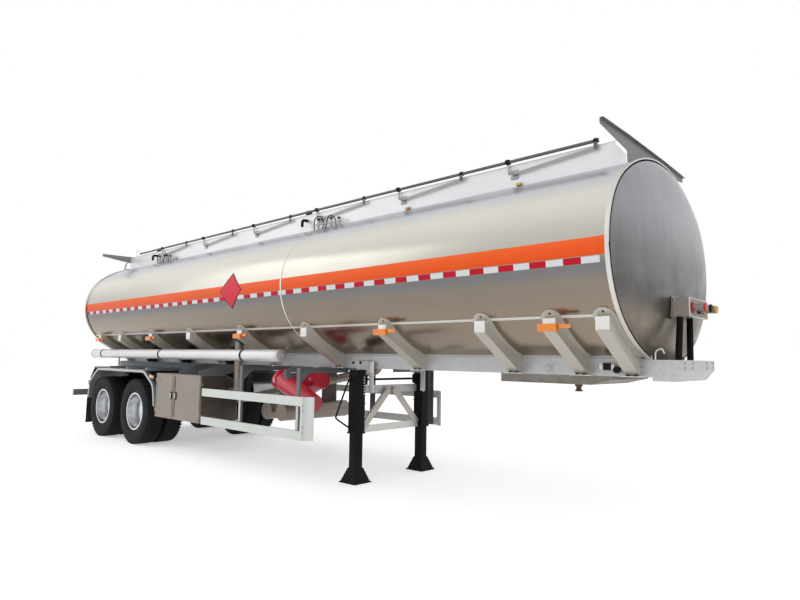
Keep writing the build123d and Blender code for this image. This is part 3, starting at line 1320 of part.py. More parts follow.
# Leaf springs: arched leaves of falling length, one pack on each axle end
with BuildPart() as leaf_springs:
    for axle_x in AXLE_X:
        for _, side in SIDES:
            for leaf in range(LEAVES):
                outer_r = LEAF_RADIUS - (LEAVES - 1 - leaf) * LEAF_WALL
                inner_r = outer_r - LEAF_WALL
                half = LEAF_HALF - leaf * LEAF_STEP
                with BuildSketch(along(side * BOGIE_HALF)):
                    with BuildLine():
                        outer_z = LEAF_CENTRE_Z - sqrt(outer_r**2 - half**2)
                        inner_z = LEAF_CENTRE_Z - sqrt(inner_r**2 - half**2)
                        ThreePointArc(
                            (axle_x - half, outer_z),
                            (axle_x, LEAF_CENTRE_Z - outer_r),
                            (axle_x + half, outer_z),
                        )
                        Line((axle_x + half, outer_z), (axle_x + half, inner_z))
                        ThreePointArc(
                            (axle_x + half, inner_z),
                            (axle_x, LEAF_CENTRE_Z - inner_r),
                            (axle_x - half, inner_z),
                        )
                        Line((axle_x - half, inner_z), (axle_x - half, outer_z))
                    make_face()
                extrude(amount=SPRING_WIDTH / 2, both=True)
leaf_springs.part.label = "leaf_springs"
export_step(leaf_springs.part, "parts/leaf_springs.step")

# Axles: beam, spindles, brake shields, spring seats and brake chambers
with BuildPart() as axles:
    for axle_x in AXLE_X:
        with BuildSketch(along(AXLE_SHOULDER_Y)):
            with Locations((axle_x, TYRE_R)):
                Circle(AXLE_R)
        extrude(amount=2 * AXLE_SHOULDER_Y)
        with BuildSketch(along(SPINDLE_END_Y)):
            with Locations((axle_x, TYRE_R)):
                Circle(SPINDLE_R)
        extrude(amount=2 * SPINDLE_END_Y)
        for _, side in SIDES:
            with BuildSketch(along(side * (AXLE_SHOULDER_Y - SHIELD_WALL))):
                with Locations((axle_x, TYRE_R)):
                    Circle(DRUM_R)
            extrude(amount=-side * SHIELD_WALL)
            with BuildSketch(along(side * BOGIE_HALF)):
                with Locations((axle_x, (TYRE_R + LEAF_BOTTOM_Z) / 2)):
                    Rectangle(SPRING_WIDTH, LEAF_BOTTOM_Z - TYRE_R)
            extrude(amount=SPRING_WIDTH / 2, both=True)
            with BuildSketch(along(side * CHAMBER_Y)):
                with Locations((axle_x - CHAMBER_R - AXLE_R, TYRE_R + CHAMBER_R)):
                    Circle(CHAMBER_R)
            extrude(amount=CHAMBER_LENGTH / 2, both=True)
            with BuildSketch(along(side * CHAMBER_Y)):
                with Locations((axle_x - CHAMBER_R, TYRE_R + AXLE_R / 2)):
                    Rectangle(2 * CHAMBER_R, AXLE_R)
            extrude(amount=SHIELD_WALL, both=True)
axles.part.label = "axles"
export_step(axles.part, "parts/axles.step")

# Fenders: a folded sheet over both wheels of each side, with a lip and three tubes
with BuildPart() as fenders:
    for _, side in SIDES:
        for inner_y, outer_y, depth in (
            (FENDER_Y_IN, FENDER_Y_OUT, FENDER_WALL),
            (FENDER_Y_OUT - FENDER_WALL, FENDER_Y_OUT, FENDER_LIP),
        ):
            with BuildSketch(along(side * inner_y)):
                with BuildLine():
                    FilletPolyline(
                        (FENDER_REAR_X, FENDER_REAR_Z),
                        (FENDER_REAR_X + FENDER_TUCK, (FENDER_TOP_Z + FENDER_REAR_Z) / 2 + FENDER_TUCK),
                        (FENDER_REAR_X + FENDER_SHOULDER, FENDER_TOP_Z),
                        (FENDER_FRONT_X - FENDER_SHOULDER, FENDER_TOP_Z),
                        (FENDER_FRONT_X - FENDER_TUCK, (FENDER_TOP_Z + FENDER_REAR_Z) / 2 + FENDER_TUCK),
                        (FENDER_FRONT_X, FENDER_FRONT_Z),
                        radius=FENDER_CORNER_R,
                    )
                    offset(amount=depth, side=Side.RIGHT)
                make_face()
            extrude(amount=-side * (outer_y - inner_y))
        for x in FENDER_TUBE_X:
            with BuildSketch(along(side * (BOGIE_HALF + FRAME_WALL / 2 + SEAT))):
                with Locations((x, FENDER_TOP_Z + FENDER_TUBE_R - FENDER_WALL / 2)):
                    Circle(FENDER_TUBE_R)
            extrude(amount=-side * (FENDER_Y_OUT - BOGIE_HALF - 4 * FENDER_LIP))
fenders.part.label = "fenders"
export_step(fenders.part, "parts/fenders.step")

# Mudflaps behind the rear wheels
FLAP_TOP_Z = FENDER_REAR_Z + 4 * FLAP_WALL
with BuildPart() as mudflaps:
    for _, side in SIDES:
        with BuildSketch(along(side * FENDER_Y_IN)):
            with Locations((FENDER_REAR_X - SEAT - FLAP_WALL / 2, (FLAP_TOP_Z + FLAP_BOTTOM_Z) / 2)):
                Rectangle(FLAP_WALL, FLAP_TOP_Z - FLAP_BOTTOM_Z)
        extrude(amount=-side * (FENDER_Y_OUT - FENDER_Y_IN))
mudflaps.part.label = "mudflaps"
export_step(mudflaps.part, "parts/mudflaps.step")

# Rear underrun bar with its two arms to the bogie frame
with BuildPart() as underrun_bar:
    with BuildSketch(across(REAR_X)):
        with Locations((0, UNDERRUN_TOP_Z - UNDERRUN_HEIGHT / 2)):
            Rectangle(2 * UNDERRUN_HALF, UNDERRUN_HEIGHT)
    extrude(amount=UNDERRUN_DEPTH)
    for _, side in SIDES:
        with BuildSketch(along(side * BOGIE_HALF)):
            with BuildLine():
                Polyline(
                    (REAR_X + UNDERRUN_DEPTH + SEAT, UNDERRUN_TOP_Z),
                    (REAR_X + UNDERRUN_DEPTH + SEAT, UNDERRUN_TOP_Z - UNDERRUN_HEIGHT),
                    (BOGIE_REAR_X + 2 * UNDERRUN_HEIGHT, BOGIE_BOTTOM_Z - SEAT),
                    (BOGIE_REAR_X, BOGIE_BOTTOM_Z - SEAT),
                    close=True,
                )
            make_face()
        extrude(amount=FRAME_WALL, both=True)
underrun_bar.part.label = "underrun_bar"
export_step(underrun_bar.part, "parts/underrun_bar.step")

# Rear lamp board, on two brackets behind the bogie frame
with BuildPart() as lamp_board:
    with BuildSketch(across(LAMP_BOARD_X)):
        with Locations((0, LAMP_BOARD_TOP_Z - LAMP_BOARD_HEIGHT / 2)):
            Rectangle(2 * LAMP_BOARD_HALF, LAMP_BOARD_HEIGHT)
    extrude(amount=LAMP_BOARD_WALL)
    for _, side in SIDES:
        with BuildSketch(across(LAMP_BOARD_X + LAMP_BOARD_WALL + SEAT)):
            with Locations((side * BOGIE_HALF, (BOGIE_BOTTOM_Z + LAMP_BOARD_TOP_Z) / 2)):
                Rectangle(FRAME_WALL, LAMP_BOARD_TOP_Z - BOGIE_BOTTOM_Z)
        extrude(amount=BOGIE_REAR_X - LAMP_BOARD_X - LAMP_BOARD_WALL - 2 * SEAT)
lamp_board.part.label = "lamp_board"
export_step(lamp_board.part, "parts/lamp_board.step")

# Rear lamps: three lenses at each end of the lamp board
with BuildPart() as rear_lamps:
    for _, side in SIDES:
        for lamp in range(REAR_LAMPS):
            y = side * (LAMP_BOARD_HALF - REAR_LAMP_R * (REAR_LAMP_INSET + REAR_LAMP_PITCH * lamp))
            with BuildSketch(across(LAMP_BOARD_X - SEAT)):
                with Locations((y, LAMP_BOARD_TOP_Z - LAMP_BOARD_HEIGHT / 2)):
                    Circle(REAR_LAMP_R)
            extrude(amount=-REAR_LAMP_DEPTH)
rear_lamps.part.label = "rear_lamps"
export_step(rear_lamps.part, "parts/rear_lamps.step")

# Marker lamps on every other saddle arm
with BuildPart() as marker_lamps:
    for _, side in SIDES:
        for x in ARM_X[1::2]:
            outer_y = side * (tank_half_width_at(ARM_BOX_TOP_Z) + ARM_STAND_OFF + SEAT)
            with BuildSketch(along(outer_y)):
                with Locations((x, MARKER_Z)):
                    Rectangle(MARKER_WIDTH, MARKER_HEIGHT)
            extrude(amount=-side * MARKER_DEPTH)
marker_lamps.part.label = "marker_lamps"
export_step(marker_lamps.part, "parts/marker_lamps.step")

# Rear ladder: two stiles that curve over onto the tank top, with round rungs
with BuildPart() as rear_ladder:
    for side in (-1, 1):
        with BuildLine() as stile_path:
            FilletPolyline(
                (LADDER_X, LADDER_Y + side * LADDER_HALF, LADDER_BOTTOM_Z),
                (LADDER_X, LADDER_Y + side * LADDER_HALF, LADDER_TOP_Z),
                (COAMING_REAR_X - WING_WALL - 2 * SEAT, LADDER_Y + side * LADDER_HALF, LADDER_TOP_Z),
                radius=LADDER_BEND_R,
            )
        with BuildSketch(Plane(origin=stile_path.line @ 0, z_dir=stile_path.line % 0)):
            Circle(LADDER_TUBE_R)
        sweep()
    with BuildSketch(along(LADDER_Y + LADDER_HALF)):
        with Locations((LADDER_X, (LADDER_BOTTOM_Z + LADDER_TOP_Z - LADDER_BEND_R) / 2)):
            with GridLocations(0, LADDER_PITCH, 1, LADDER_RUNGS):
                Circle(LADDER_RUNG_R)
    extrude(amount=2 * LADDER_HALF)
    with BuildSketch(across(LADDER_X)):
        for side in (-1, 1):
            with Locations((LADDER_Y + side * LADDER_HALF, LAMP_BOARD_TOP_Z - LAMP_BOARD_HEIGHT / 2)):
                Circle(LADDER_RUNG_R)
    extrude(amount=LAMP_BOARD_X - LADDER_X - SEAT)
rear_ladder.part.label = "rear_ladder"
export_step(rear_ladder.part, "parts/rear_ladder.step")

# Connector box on the front head, with its mounting flange and couplings
with BuildPart() as connector_box:
    with BuildSketch(across(CONNECTOR_REAR_X)):
        with Locations((0, CONNECTOR_Z)):
            Rectangle(CONNECTOR_WIDTH, CONNECTOR_HEIGHT)
    extrude(amount=CONNECTOR_FRONT_X - CONNECTOR_REAR_X)
    with BuildSketch(across(CONNECTOR_FLANGE_X)):
        with Locations((0, CONNECTOR_Z)):
            Rectangle(CONNECTOR_WIDTH + 2 * CONNECTOR_FLANGE, CONNECTOR_HEIGHT + 2 * CONNECTOR_FLANGE)
    extrude(amount=CONNECTOR_WALL)
    with BuildSketch(across(CONNECTOR_FRONT_X)):
        for y in COUPLING_Y:
            with Locations((y, CONNECTOR_Z)):
                Circle(COUPLING_R)
    extrude(amount=FRONT_X - CONNECTOR_FRONT_X)
    add(head_clearance, mode=Mode.SUBTRACT)
connector_box.part.label = "connector_box"
export_step(connector_box.part, "parts/connector_box.step")

# Connector hoses from the box down to the bumper beam
with BuildPart() as connector_hoses:
    for top_y, foot_y in HOSE_TABLE:
        with BuildLine() as hose_path:
            FilletPolyline(
                (CONNECTOR_HOSE_X, top_y, CONNECTOR_Z - CONNECTOR_HEIGHT / 2 - SEAT),
                (CONNECTOR_HOSE_X, top_y, CONNECTOR_Z - CONNECTOR_HEIGHT / 2 - 2 * HOSE_R),
                (CONNECTOR_HOSE_X + HOSE_R, foot_y, BUMPER_TOP_Z + 2 * HOSE_R),
                (CONNECTOR_HOSE_X + HOSE_R, foot_y, BUMPER_TOP_Z + SEAT),
                radius=HOSE_R + HOSE_R / 2,
            )
        with BuildSketch(Plane(origin=hose_path.line @ 0, z_dir=hose_path.line % 0)):
            Circle(HOSE_R)
        sweep()
connector_hoses.part.label = "connector_hoses"
export_step(connector_hoses.part, "parts/connector_hoses.step")

# Top valves: a block with a pipe loop beside two of the manholes
with BuildPart() as top_valves:
    for x in TOP_VALVE_X:
        with BuildSketch(Plane.XY.offset(COAMING_TOP_Z + SEAT)):
            with Locations((x, -(COAMING_HALF - COAMING_FLANGE / 2))):
                Rectangle(2 * TOP_VALVE_R, COAMING_FLANGE)
        extrude(amount=TOP_VALVE_HEIGHT)
        with BuildLine() as loop_path:
            FilletPolyline(
                (x, -COAMING_HALF - SEAT, COAMING_TOP_Z - LOOP_START_DROP),
                (x, -COAMING_HALF - TOP_VALVE_REACH, COAMING_TOP_Z - LOOP_START_DROP),
                (x, -COAMING_HALF - TOP_VALVE_REACH, COAMING_TOP_Z - LOOP_END_DROP),
                radius=TOP_VALVE_R,
            )
        with BuildSketch(Plane(origin=loop_path.line @ 0, z_dir=loop_path.line % 0)):
            Circle(TOP_VALVE_R / 2)
        sweep()
    add(tank_clearance, mode=Mode.SUBTRACT)
top_valves.part.label = "top_valves"
export_step(top_valves.part, "parts/top_valves.step")


# Tyres: two on each axle end, with rounded walls and a flat tread between sloped shoulders
TYRE_HALF = TYRE_WIDTH / 2
TREAD_HALF = TYRE_HALF - 2 * SHOULDER_INSET
TYRE_BULGE_R = (TYRE_R + RIM_LIP_R) / 2
BEAD_TOP_R = RIM_LIP_R + 2 * SEAT
for axle_name, axle_x in zip(AXLE_NAMES, AXLE_X):
    for side_name, side in SIDES:
        spin_plane = Plane(origin=(axle_x, 0, TYRE_R), x_dir=(0, side, 0), z_dir=(-side, 0, 0))
        spin_axis = Axis((axle_x, 0, TYRE_R), (0, 1, 0))
        with BuildPart() as tyres:
            for centre in (WHEEL_FACE_Y + DUAL_SPACING / 2, WHEEL_FACE_Y - DUAL_SPACING / 2):
                with BuildSketch(spin_plane):
                    with BuildLine():
                        Polyline(
                            (centre - RIM_WIDTH / 2, BEAD_TOP_R),
                            (centre - RIM_WIDTH / 2, TYRE_BORE_R),
                            (centre + RIM_WIDTH / 2, TYRE_BORE_R),
                            (centre + RIM_WIDTH / 2, BEAD_TOP_R),
                        )
                        ThreePointArc(
                            (centre + RIM_WIDTH / 2, BEAD_TOP_R),
                            (centre + TYRE_HALF, TYRE_BULGE_R),
                            (centre + TYRE_HALF - SHOULDER_INSET, TYRE_R - 2 * SHOULDER_INSET),
                        )
                        Polyline(
                            (centre + TYRE_HALF - SHOULDER_INSET, TYRE_R - 2 * SHOULDER_INSET),
                            (centre + TREAD_HALF, TYRE_R),
                            (centre - TREAD_HALF, TYRE_R),
                            (centre - TYRE_HALF + SHOULDER_INSET, TYRE_R - 2 * SHOULDER_INSET),
                        )
                        ThreePointArc(
                            (centre - TYRE_HALF + SHOULDER_INSET, TYRE_R - 2 * SHOULDER_INSET),
                            (centre - TYRE_HALF, TYRE_BULGE_R),
                            (centre - RIM_WIDTH / 2, BEAD_TOP_R),
                        )
                    make_face()
                revolve(axis=spin_axis)
        tyres.part.label = f"tyres_{axle_name}_{side_name}"
        export_step(tyres.part, f"parts/tyres_{axle_name}_{side_name}.step")

# Wheels: twin rims with discs, hub, drum and nuts, fused as bolted
RIM_INNER_R = TYRE_BORE_R - SEAT - RIM_WALL
DISC_FOOT_R = RIM_BORE_R + 45.0
for axle_name, axle_x in zip(AXLE_NAMES, AXLE_X):
    for side_name, side in SIDES:
        spin_plane = Plane(origin=(axle_x, 0, TYRE_R), x_dir=(0, side, 0), z_dir=(-side, 0, 0))
        spin_axis = Axis((axle_x, 0, TYRE_R), (0, 1, 0))
        hub_end = WHEEL_FACE_Y + HUB_OUT
        drum_in = WHEEL_FACE_Y - DRUM_WIDTH
        with BuildPart() as wheel:
            for outwards in (1, -1):
                centre = WHEEL_FACE_Y + outwards * DUAL_SPACING / 2
                near = centre - outwards * (RIM_WIDTH / 2 + SEAT)
                far = centre + outwards * (RIM_WIDTH / 2 + SEAT)
                lip = outwards * RIM_LIP_WALL
                with BuildSketch(spin_plane):
                    with BuildLine():
                        Polyline(
                            (near - lip, RIM_INNER_R),
                            (near - lip, RIM_LIP_R),
                            (near, RIM_LIP_R),
                            (near, RIM_INNER_R + RIM_WALL),
                            (far, RIM_INNER_R + RIM_WALL),
                            (far, RIM_LIP_R),
                            (far + lip, RIM_LIP_R),
                            (far + lip, RIM_INNER_R),
                            close=True,
                        )
                    make_face()
                    with BuildLine():
                        Polyline(
                            (WHEEL_FACE_Y, RIM_BORE_R - RIM_OVERLAP),
                            (WHEEL_FACE_Y, DISC_FOOT_R),
                            (near, RIM_INNER_R + RIM_WALL / 2),
                            (near + 2 * lip, RIM_INNER_R + RIM_WALL / 2),
                            (WHEEL_FACE_Y + outwards * RIM_DISC_WALL, DISC_FOOT_R - RIM_DISC_WALL / 2),
                            (WHEEL_FACE_Y + outwards * RIM_DISC_WALL, RIM_BORE_R - RIM_OVERLAP),
                            close=True,
                        )
                    make_face()
                revolve(axis=spin_axis)
            with BuildSketch(spin_plane):
                with BuildLine():
                    Polyline(
                        (AXLE_SHOULDER_Y + HUB_INSET, SPINDLE_R + SPINDLE_PLAY),
                        (AXLE_SHOULDER_Y + HUB_INSET, HUB_CORE_R),
                        (WHEEL_FACE_Y - DRUM_WALL - RIM_DISC_WALL, HUB_CORE_R),
                        (WHEEL_FACE_Y - DRUM_WALL - RIM_DISC_WALL, DRUM_R - DRUM_WALL),
                        (drum_in, DRUM_R - DRUM_WALL),
                        (drum_in, DRUM_R),
                        (WHEEL_FACE_Y - RIM_DISC_WALL, DRUM_R - DRUM_WALL),
                        (WHEEL_FACE_Y - RIM_DISC_WALL, HUB_R),
                        (hub_end - HUB_R / 4, HUB_R),
                        (hub_end, HUB_CAP_R),
                        (hub_end, 0),
                        (SPINDLE_END_Y + SPINDLE_END_GAP, 0),
                        (SPINDLE_END_Y + SPINDLE_END_GAP, SPINDLE_R + SPINDLE_PLAY),
                        close=True,
                    )
                make_face()
            revolve(axis=spin_axis)
            with BuildSketch(along(side * WHEEL_FACE_Y)):
                with Locations((axle_x, TYRE_R)):
                    with PolarLocations(HAND_HOLE_PITCH_R, HAND_HOLES):
                        Circle(HAND_HOLE_R)
            extrude(amount=RIM_WIDTH / 2, both=True, mode=Mode.SUBTRACT)
            with BuildSketch(along(side * (WHEEL_FACE_Y + RIM_DISC_WALL))):
                with Locations((axle_x, TYRE_R)):
                    with PolarLocations(NUT_PITCH_R, WHEEL_NUTS, start_angle=180 / WHEEL_NUTS):
                        RegularPolygon(NUT_R, NUT_SIDES)
            extrude(amount=-side * NUT_HEIGHT)
        wheel.part.label = f"wheel_{axle_name}_{side_name}"
        export_step(wheel.part, f"parts/wheel_{axle_name}_{side_name}.step")
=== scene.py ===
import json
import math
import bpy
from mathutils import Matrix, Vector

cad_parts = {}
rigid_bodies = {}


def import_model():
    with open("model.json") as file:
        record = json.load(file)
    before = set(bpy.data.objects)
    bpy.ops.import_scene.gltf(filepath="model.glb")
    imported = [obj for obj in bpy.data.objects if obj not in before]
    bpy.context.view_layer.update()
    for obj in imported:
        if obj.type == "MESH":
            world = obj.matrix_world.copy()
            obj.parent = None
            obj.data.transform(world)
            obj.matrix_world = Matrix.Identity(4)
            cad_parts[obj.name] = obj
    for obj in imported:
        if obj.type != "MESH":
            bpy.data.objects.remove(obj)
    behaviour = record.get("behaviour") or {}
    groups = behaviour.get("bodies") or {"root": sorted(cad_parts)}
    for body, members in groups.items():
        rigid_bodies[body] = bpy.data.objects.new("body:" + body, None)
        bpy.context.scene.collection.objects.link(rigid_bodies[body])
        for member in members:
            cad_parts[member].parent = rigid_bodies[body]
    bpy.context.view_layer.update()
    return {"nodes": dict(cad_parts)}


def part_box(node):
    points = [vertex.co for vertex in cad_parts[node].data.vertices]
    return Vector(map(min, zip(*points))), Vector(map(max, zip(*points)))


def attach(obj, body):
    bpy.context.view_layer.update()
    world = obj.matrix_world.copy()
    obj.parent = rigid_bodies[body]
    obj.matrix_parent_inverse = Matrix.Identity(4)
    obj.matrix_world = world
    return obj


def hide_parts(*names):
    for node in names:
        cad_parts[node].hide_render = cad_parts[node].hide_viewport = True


bl_info = {
    "name": "Tank semi-trailer",
    "version": (1, 0, 0),
    "blender": (4, 5, 0),
    "location": "View3D > Sidebar > Trailer",
    "description": "Finishes and small fittings for a tank semi-trailer",
    "category": "Object",
}

import bmesh
import bpy
from mathutils import Matrix, Vector

for spare in list(bpy.data.objects):
    bpy.data.objects.remove(spare)
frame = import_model()
NODES = frame["nodes"]

# Where the frame's pieces are, in metres. Side is -1 on the right and 1 on the left.
SIDES = (("right", -1), ("left", 1))
TANK_FRONT_X = 5.110
TANK_REAR_X = -5.145
TANK_Z = 2.325
FLANK_RADIUS = 0.760
FLANK_CENTRE_Y = 0.462
CROWN_RADIUS = 1.5685
CROWN_CENTRE_DROP = 0.6635
ARC_CORNER = math.atan2(CROWN_CENTRE_DROP, FLANK_CENTRE_Y)
ARC_STEPS = 16
RIM_BAND = 0.045
RIM_GROW = 0.010
WELD_X = 1.080
SEAM_Z = 1.803
SHEET_LIFT = 0.0012
ARM_X = (5.005, 4.555, 3.870, 2.652, 1.350, -0.030, -1.420, -2.680, -3.900, -4.800)
PAD_HALF = 0.093
PAD_LIFT = 0.011
PAD_TOP_Z = 1.862
PAD_FOOT_Y = 0.480
ARM_BOLT_Z = 1.835
ARM_STUB_Z = 1.7375
ARM_LAMP_Z = 1.7205
ARM_FOOT_Z = 1.3251
AXLE_X = (-2.800, -4.100)
AXLE_NAMES = ("front", "rear")
TYRE_R = 0.525
TWIN_CENTRES = (1.085, 0.755)
POST_FEET_X = tuple(3.900 - 1.480 * i for i in range(6))
POST_REACH = 0.850
POST_Y = -0.530
POST_FOOT_Z = 3.270
RAIL_Z = 3.402
RAIL_END_X = (4.752, -4.452)
COUPLING_X = 5.400
COUPLING_Z = 1.905
COUPLING_HALF = 0.260
DOOR_Y = -1.2323
DOOR_LOW_Z = 0.520
DOOR_HIGH_Z = 1.153
CABINET_END = ((-1.208, 0.516), (-1.208, 1.157), (-0.832, 1.157), (-0.648, 1.060), (-0.648, 0.516))
GUARD_POST_Y = 1.215
GUARD_OUT_Y = 1.240
TUBE_Y = 1.050
TUBE_Z = 1.455
FENDER_X = -3.390
FENDER_LENGTH = 2.300
LINER_SIZE = (0.250, 0.640, 0.003)
LEG_X = 1.794
LEG_Y = 0.587
STRIP_IN = 0.045
CASE_LEAN = math.radians(24.0)
CASE_RADIUS = 0.139
MANHOLE_X = (3.300, 0.200, -3.000)
MANHOLE_BOLT_CIRCLE = 0.272
MANHOLE_BOLTS = 20
COVER_TOP_Z = 3.286
VALVES_X = (0.900, -3.620)
VALVES_Y = -0.577
VALVE_FOOT_Z = 3.118
PIPE_SIDES = 10
PIPE_STEPS = 6
SHARP_ANGLE = math.radians(35.0)
CAMERA_AT = (6.873, -5.411, 1.442)
CAMERA_YAW = 0.830
CAMERA_PITCH = 0.100
CAMERA_ROLL = 0.015

# A tyre's section, each point as the distance from its middle and the radius
TYRE_BEAD = ((-0.105, 0.2991), (-0.105, 0.2863), (0.105, 0.2863), (0.105, 0.2991))
TYRE_WALL = (
    (0.112, 0.308), (0.122, 0.330), (0.124, 0.333), (0.1305, 0.360), (0.1360, 0.395),
    (0.1375, 0.412), (0.1375, 0.418), (0.1350, 0.421), (0.1350, 0.455), (0.1325, 0.462),
    (0.1310, 0.485), (0.1250, 0.498), (0.1150, 0.508),
)
TREAD_HALF = 0.0900
TREAD_GROOVES = (0.066, 0.022, -0.022, -0.066)
TYRE_LUGS = 104


# Shader nodes and the groups that the finishes share
def set_inputs(tree, node, inputs):
    """Sets a node's inputs to values, or links them to the sockets given."""
    for socket, value in inputs.items():
        if isinstance(value, bpy.types.NodeSocket):
            tree.links.new(value, node.inputs[socket])
        else:
            node.inputs[socket].default_value = value


def add_node(tree, kind, inputs=None, **settings):
    """A new node with its settings and inputs."""
    node = tree.nodes.new(kind)
    for name, value in settings.items():
        setattr(node, name, value)
    set_inputs(tree, node, inputs or {})
    return node


def add_math(tree, operation, *terms):
    """The output of a maths node on values or sockets."""
    inputs = dict(enumerate(terms))
    return add_node(tree, "ShaderNodeMath", inputs, operation=operation).outputs[0]


def add_mix(tree, factor, first, second, blend="MIX"):
    """The output of a node that mixes two colours."""
    inputs = {"Factor": factor, "A": first, "B": second}
    mix = add_node(tree, "ShaderNodeMix", inputs, data_type="RGBA", blend_type=blend)
    return mix.outputs["Result"]


def seen_rays(tree):
    """1 for rays from the camera, off gloss or through glass, and 0 for those that light."""
    rays = add_node(tree, "ShaderNodeLightPath").outputs
    seen = add_math(tree, "MAXIMUM", rays["Is Camera Ray"], rays["Is Glossy Ray"])
    return add_math(tree, "MAXIMUM", seen, rays["Is Transmission Ray"])


def add_group(name, inputs, outputs):
    """A new shader node group with named sockets, and its input and output nodes."""
    group = bpy.data.node_groups.new(name, "ShaderNodeTree")
    for socket, kind, value in inputs:
        made = group.interface.new_socket(socket, in_out="INPUT", socket_type=kind)
        if value is not None:
            made.default_value = value
    for socket in outputs:
        group.interface.new_socket(socket, in_out="OUTPUT", socket_type="NodeSocketFloat")
    start, end = group.nodes.new("NodeGroupInput"), group.nodes.new("NodeGroupOutput")
    return group, start.outputs, end


def grain_group():
    """Fine grain, stretched along the rolling direction, with its height and a soft mask."""
    group, start, end = add_group(
        "Surface grain",
        (
            ("Vector", "NodeSocketVector", None),
            ("Stretch", "NodeSocketVector", (1, 1, 1)),
            ("Scale", "NodeSocketFloat", 40.0),
        ),
        ("Mask", "Height"),
    )
    ends = {0: start["Vector"], 1: start["Stretch"]}
    stretched = add_node(group, "ShaderNodeVectorMath", ends, operation="MULTIPLY").outputs[0]
    inputs = {"Vector": stretched, "Scale": start["Scale"], "Detail": 5.0}
    fine = add_node(group, "ShaderNodeTexNoise", inputs).outputs["Fac"]
    inputs = {"Vector": start["Vector"], "Scale": 1.7, "Detail": 3.0}
    broad = add_node(group, "ShaderNodeTexNoise", inputs).outputs["Fac"]
    half = add_math(group, "MULTIPLY", fine, 0.5)
    mask = add_math(group, "MULTIPLY_ADD", broad, 0.5, half)
    set_inputs(group, end, {"Mask": mask, "Height": fine})
    return group


def film_group():
    """Road film: a mask that grows from one height down to another and breaks up in patches."""
    group, start, end = add_group(
        "Road film",
        (
            ("Vector", "NodeSocketVector", None),
            ("Clean height", "NodeSocketFloat", 2.0),
            ("Dirty height", "NodeSocketFloat", 0.3),
            ("Patch scale", "NodeSocketFloat", 3.0),
        ),
        ("Mask",),
    )
    height = add_node(group, "ShaderNodeSeparateXYZ", {0: start["Vector"]}).outputs["Z"]
    ends = {"Value": height, "From Min": start["Clean height"], "From Max": start["Dirty height"]}
    fade = add_node(group, "ShaderNodeMapRange", ends).outputs["Result"]
    inputs = {"Vector": start["Vector"], "Scale": start["Patch scale"]}
    inputs |= {"Detail": 6.0, "Roughness": 0.62}
    patches = add_node(group, "ShaderNodeTexNoise", inputs).outputs["Fac"]
    inputs = {"Value": patches, "From Min": 0.32, "From Max": 0.72}
    sharpened = add_node(group, "ShaderNodeMapRange", inputs).outputs["Result"]
    set_inputs(group, end, {"Mask": add_math(group, "MULTIPLY", fade, sharpened)})
    return group


GROUPS = {"grain": grain_group(), "film": film_group()}
FINISHES = {}


def band_colours(tree, place, bands, low, high):
    """The colour at each height, from a table of heights and colours."""
    height = add_node(tree, "ShaderNodeSeparateXYZ", {0: place}).outputs["Z"]
    ends = {"Value": height, "From Min": low, "From Max": high}
    rise = add_node(tree, "ShaderNodeMapRange", ends).outputs["Result"]
    ramp = add_node(tree, "ShaderNodeValToRGB", {"Fac": rise})
    ramp.color_ramp.interpolation = "EASE"
    stops = ramp.color_ramp.elements
    while len(stops) < len(bands):
        stops.new(0.5)
    for stop, (height, shade) in zip(stops, bands):
        stop.position = (height - low) / (high - low)
        stop.color = (*shade, 1)
    return ramp.outputs["Color"]


def make_finish(
    name,
    colour,
    roughness,
    metallic=0.0,
    tint=(0.8, 0.8, 0.8),
    stretch=(1.0, 1.0, 1.0),
    scale=40.0,
    bump=0.1,
    coat=0.0,
    specular=0.5,
    film=(0.30, 0.27, 0.23),
    film_amount=0.25,
    film_heights=(1.6, 0.2),
    patch_scale=3.0,
    bands=(),
    band_range=(1.42, 3.23),
):
    """A procedural finish: grain, tint, road film and, where given, colours in bands by height; on
    the barrel and the head these bands are painted reflection and highlight.
    """
    material = bpy.data.materials.new(name)
    material.use_nodes = True
    tree = material.node_tree
    place = add_node(tree, "ShaderNodeTexCoord").outputs["Object"]
    inputs = {"Vector": place, "Stretch": stretch, "Scale": scale}
    grain = add_node(tree, "ShaderNodeGroup", node_tree=GROUPS["grain"])
    set_inputs(tree, grain, inputs)
    dirt = add_node(tree, "ShaderNodeGroup", node_tree=GROUPS["film"])
    clean, dirty = film_heights
    inputs = {"Clean height": clean, "Dirty height": dirty, "Patch scale": patch_scale}
    set_inputs(tree, dirt, {"Vector": place, **inputs})
    darker = (*(c * t for c, t in zip(colour, tint)), 1)
    base = add_mix(tree, grain.outputs["Mask"], (*colour, 1), darker)
    if bands:
        base = add_mix(tree, 1.0, base, band_colours(tree, place, bands, *band_range), "MULTIPLY")
    amount = add_math(tree, "MULTIPLY", dirt.outputs["Mask"], film_amount)
    base = add_mix(tree, amount, base, (*film, 1))
    gloss = add_math(tree, "MULTIPLY_ADD", amount, 0.35, max(roughness - 0.06, 0.02))
    rough = add_math(tree, "MULTIPLY_ADD", grain.outputs["Mask"], 0.14, gloss)
    inputs = {"Strength": bump, "Distance": 0.002, "Height": grain.outputs["Height"]}
    relief = add_node(tree, "ShaderNodeBump", inputs)
    inputs = {
        "Base Color": base,
        "Metallic": metallic,
        "Roughness": rough,
        "Normal": relief.outputs["Normal"],
        "Specular IOR Level": specular,
        "Coat Weight": coat,
        "Coat Roughness": 0.08,
    }
    set_inputs(tree, tree.nodes["Principled BSDF"], inputs)
    FINISHES[name] = material
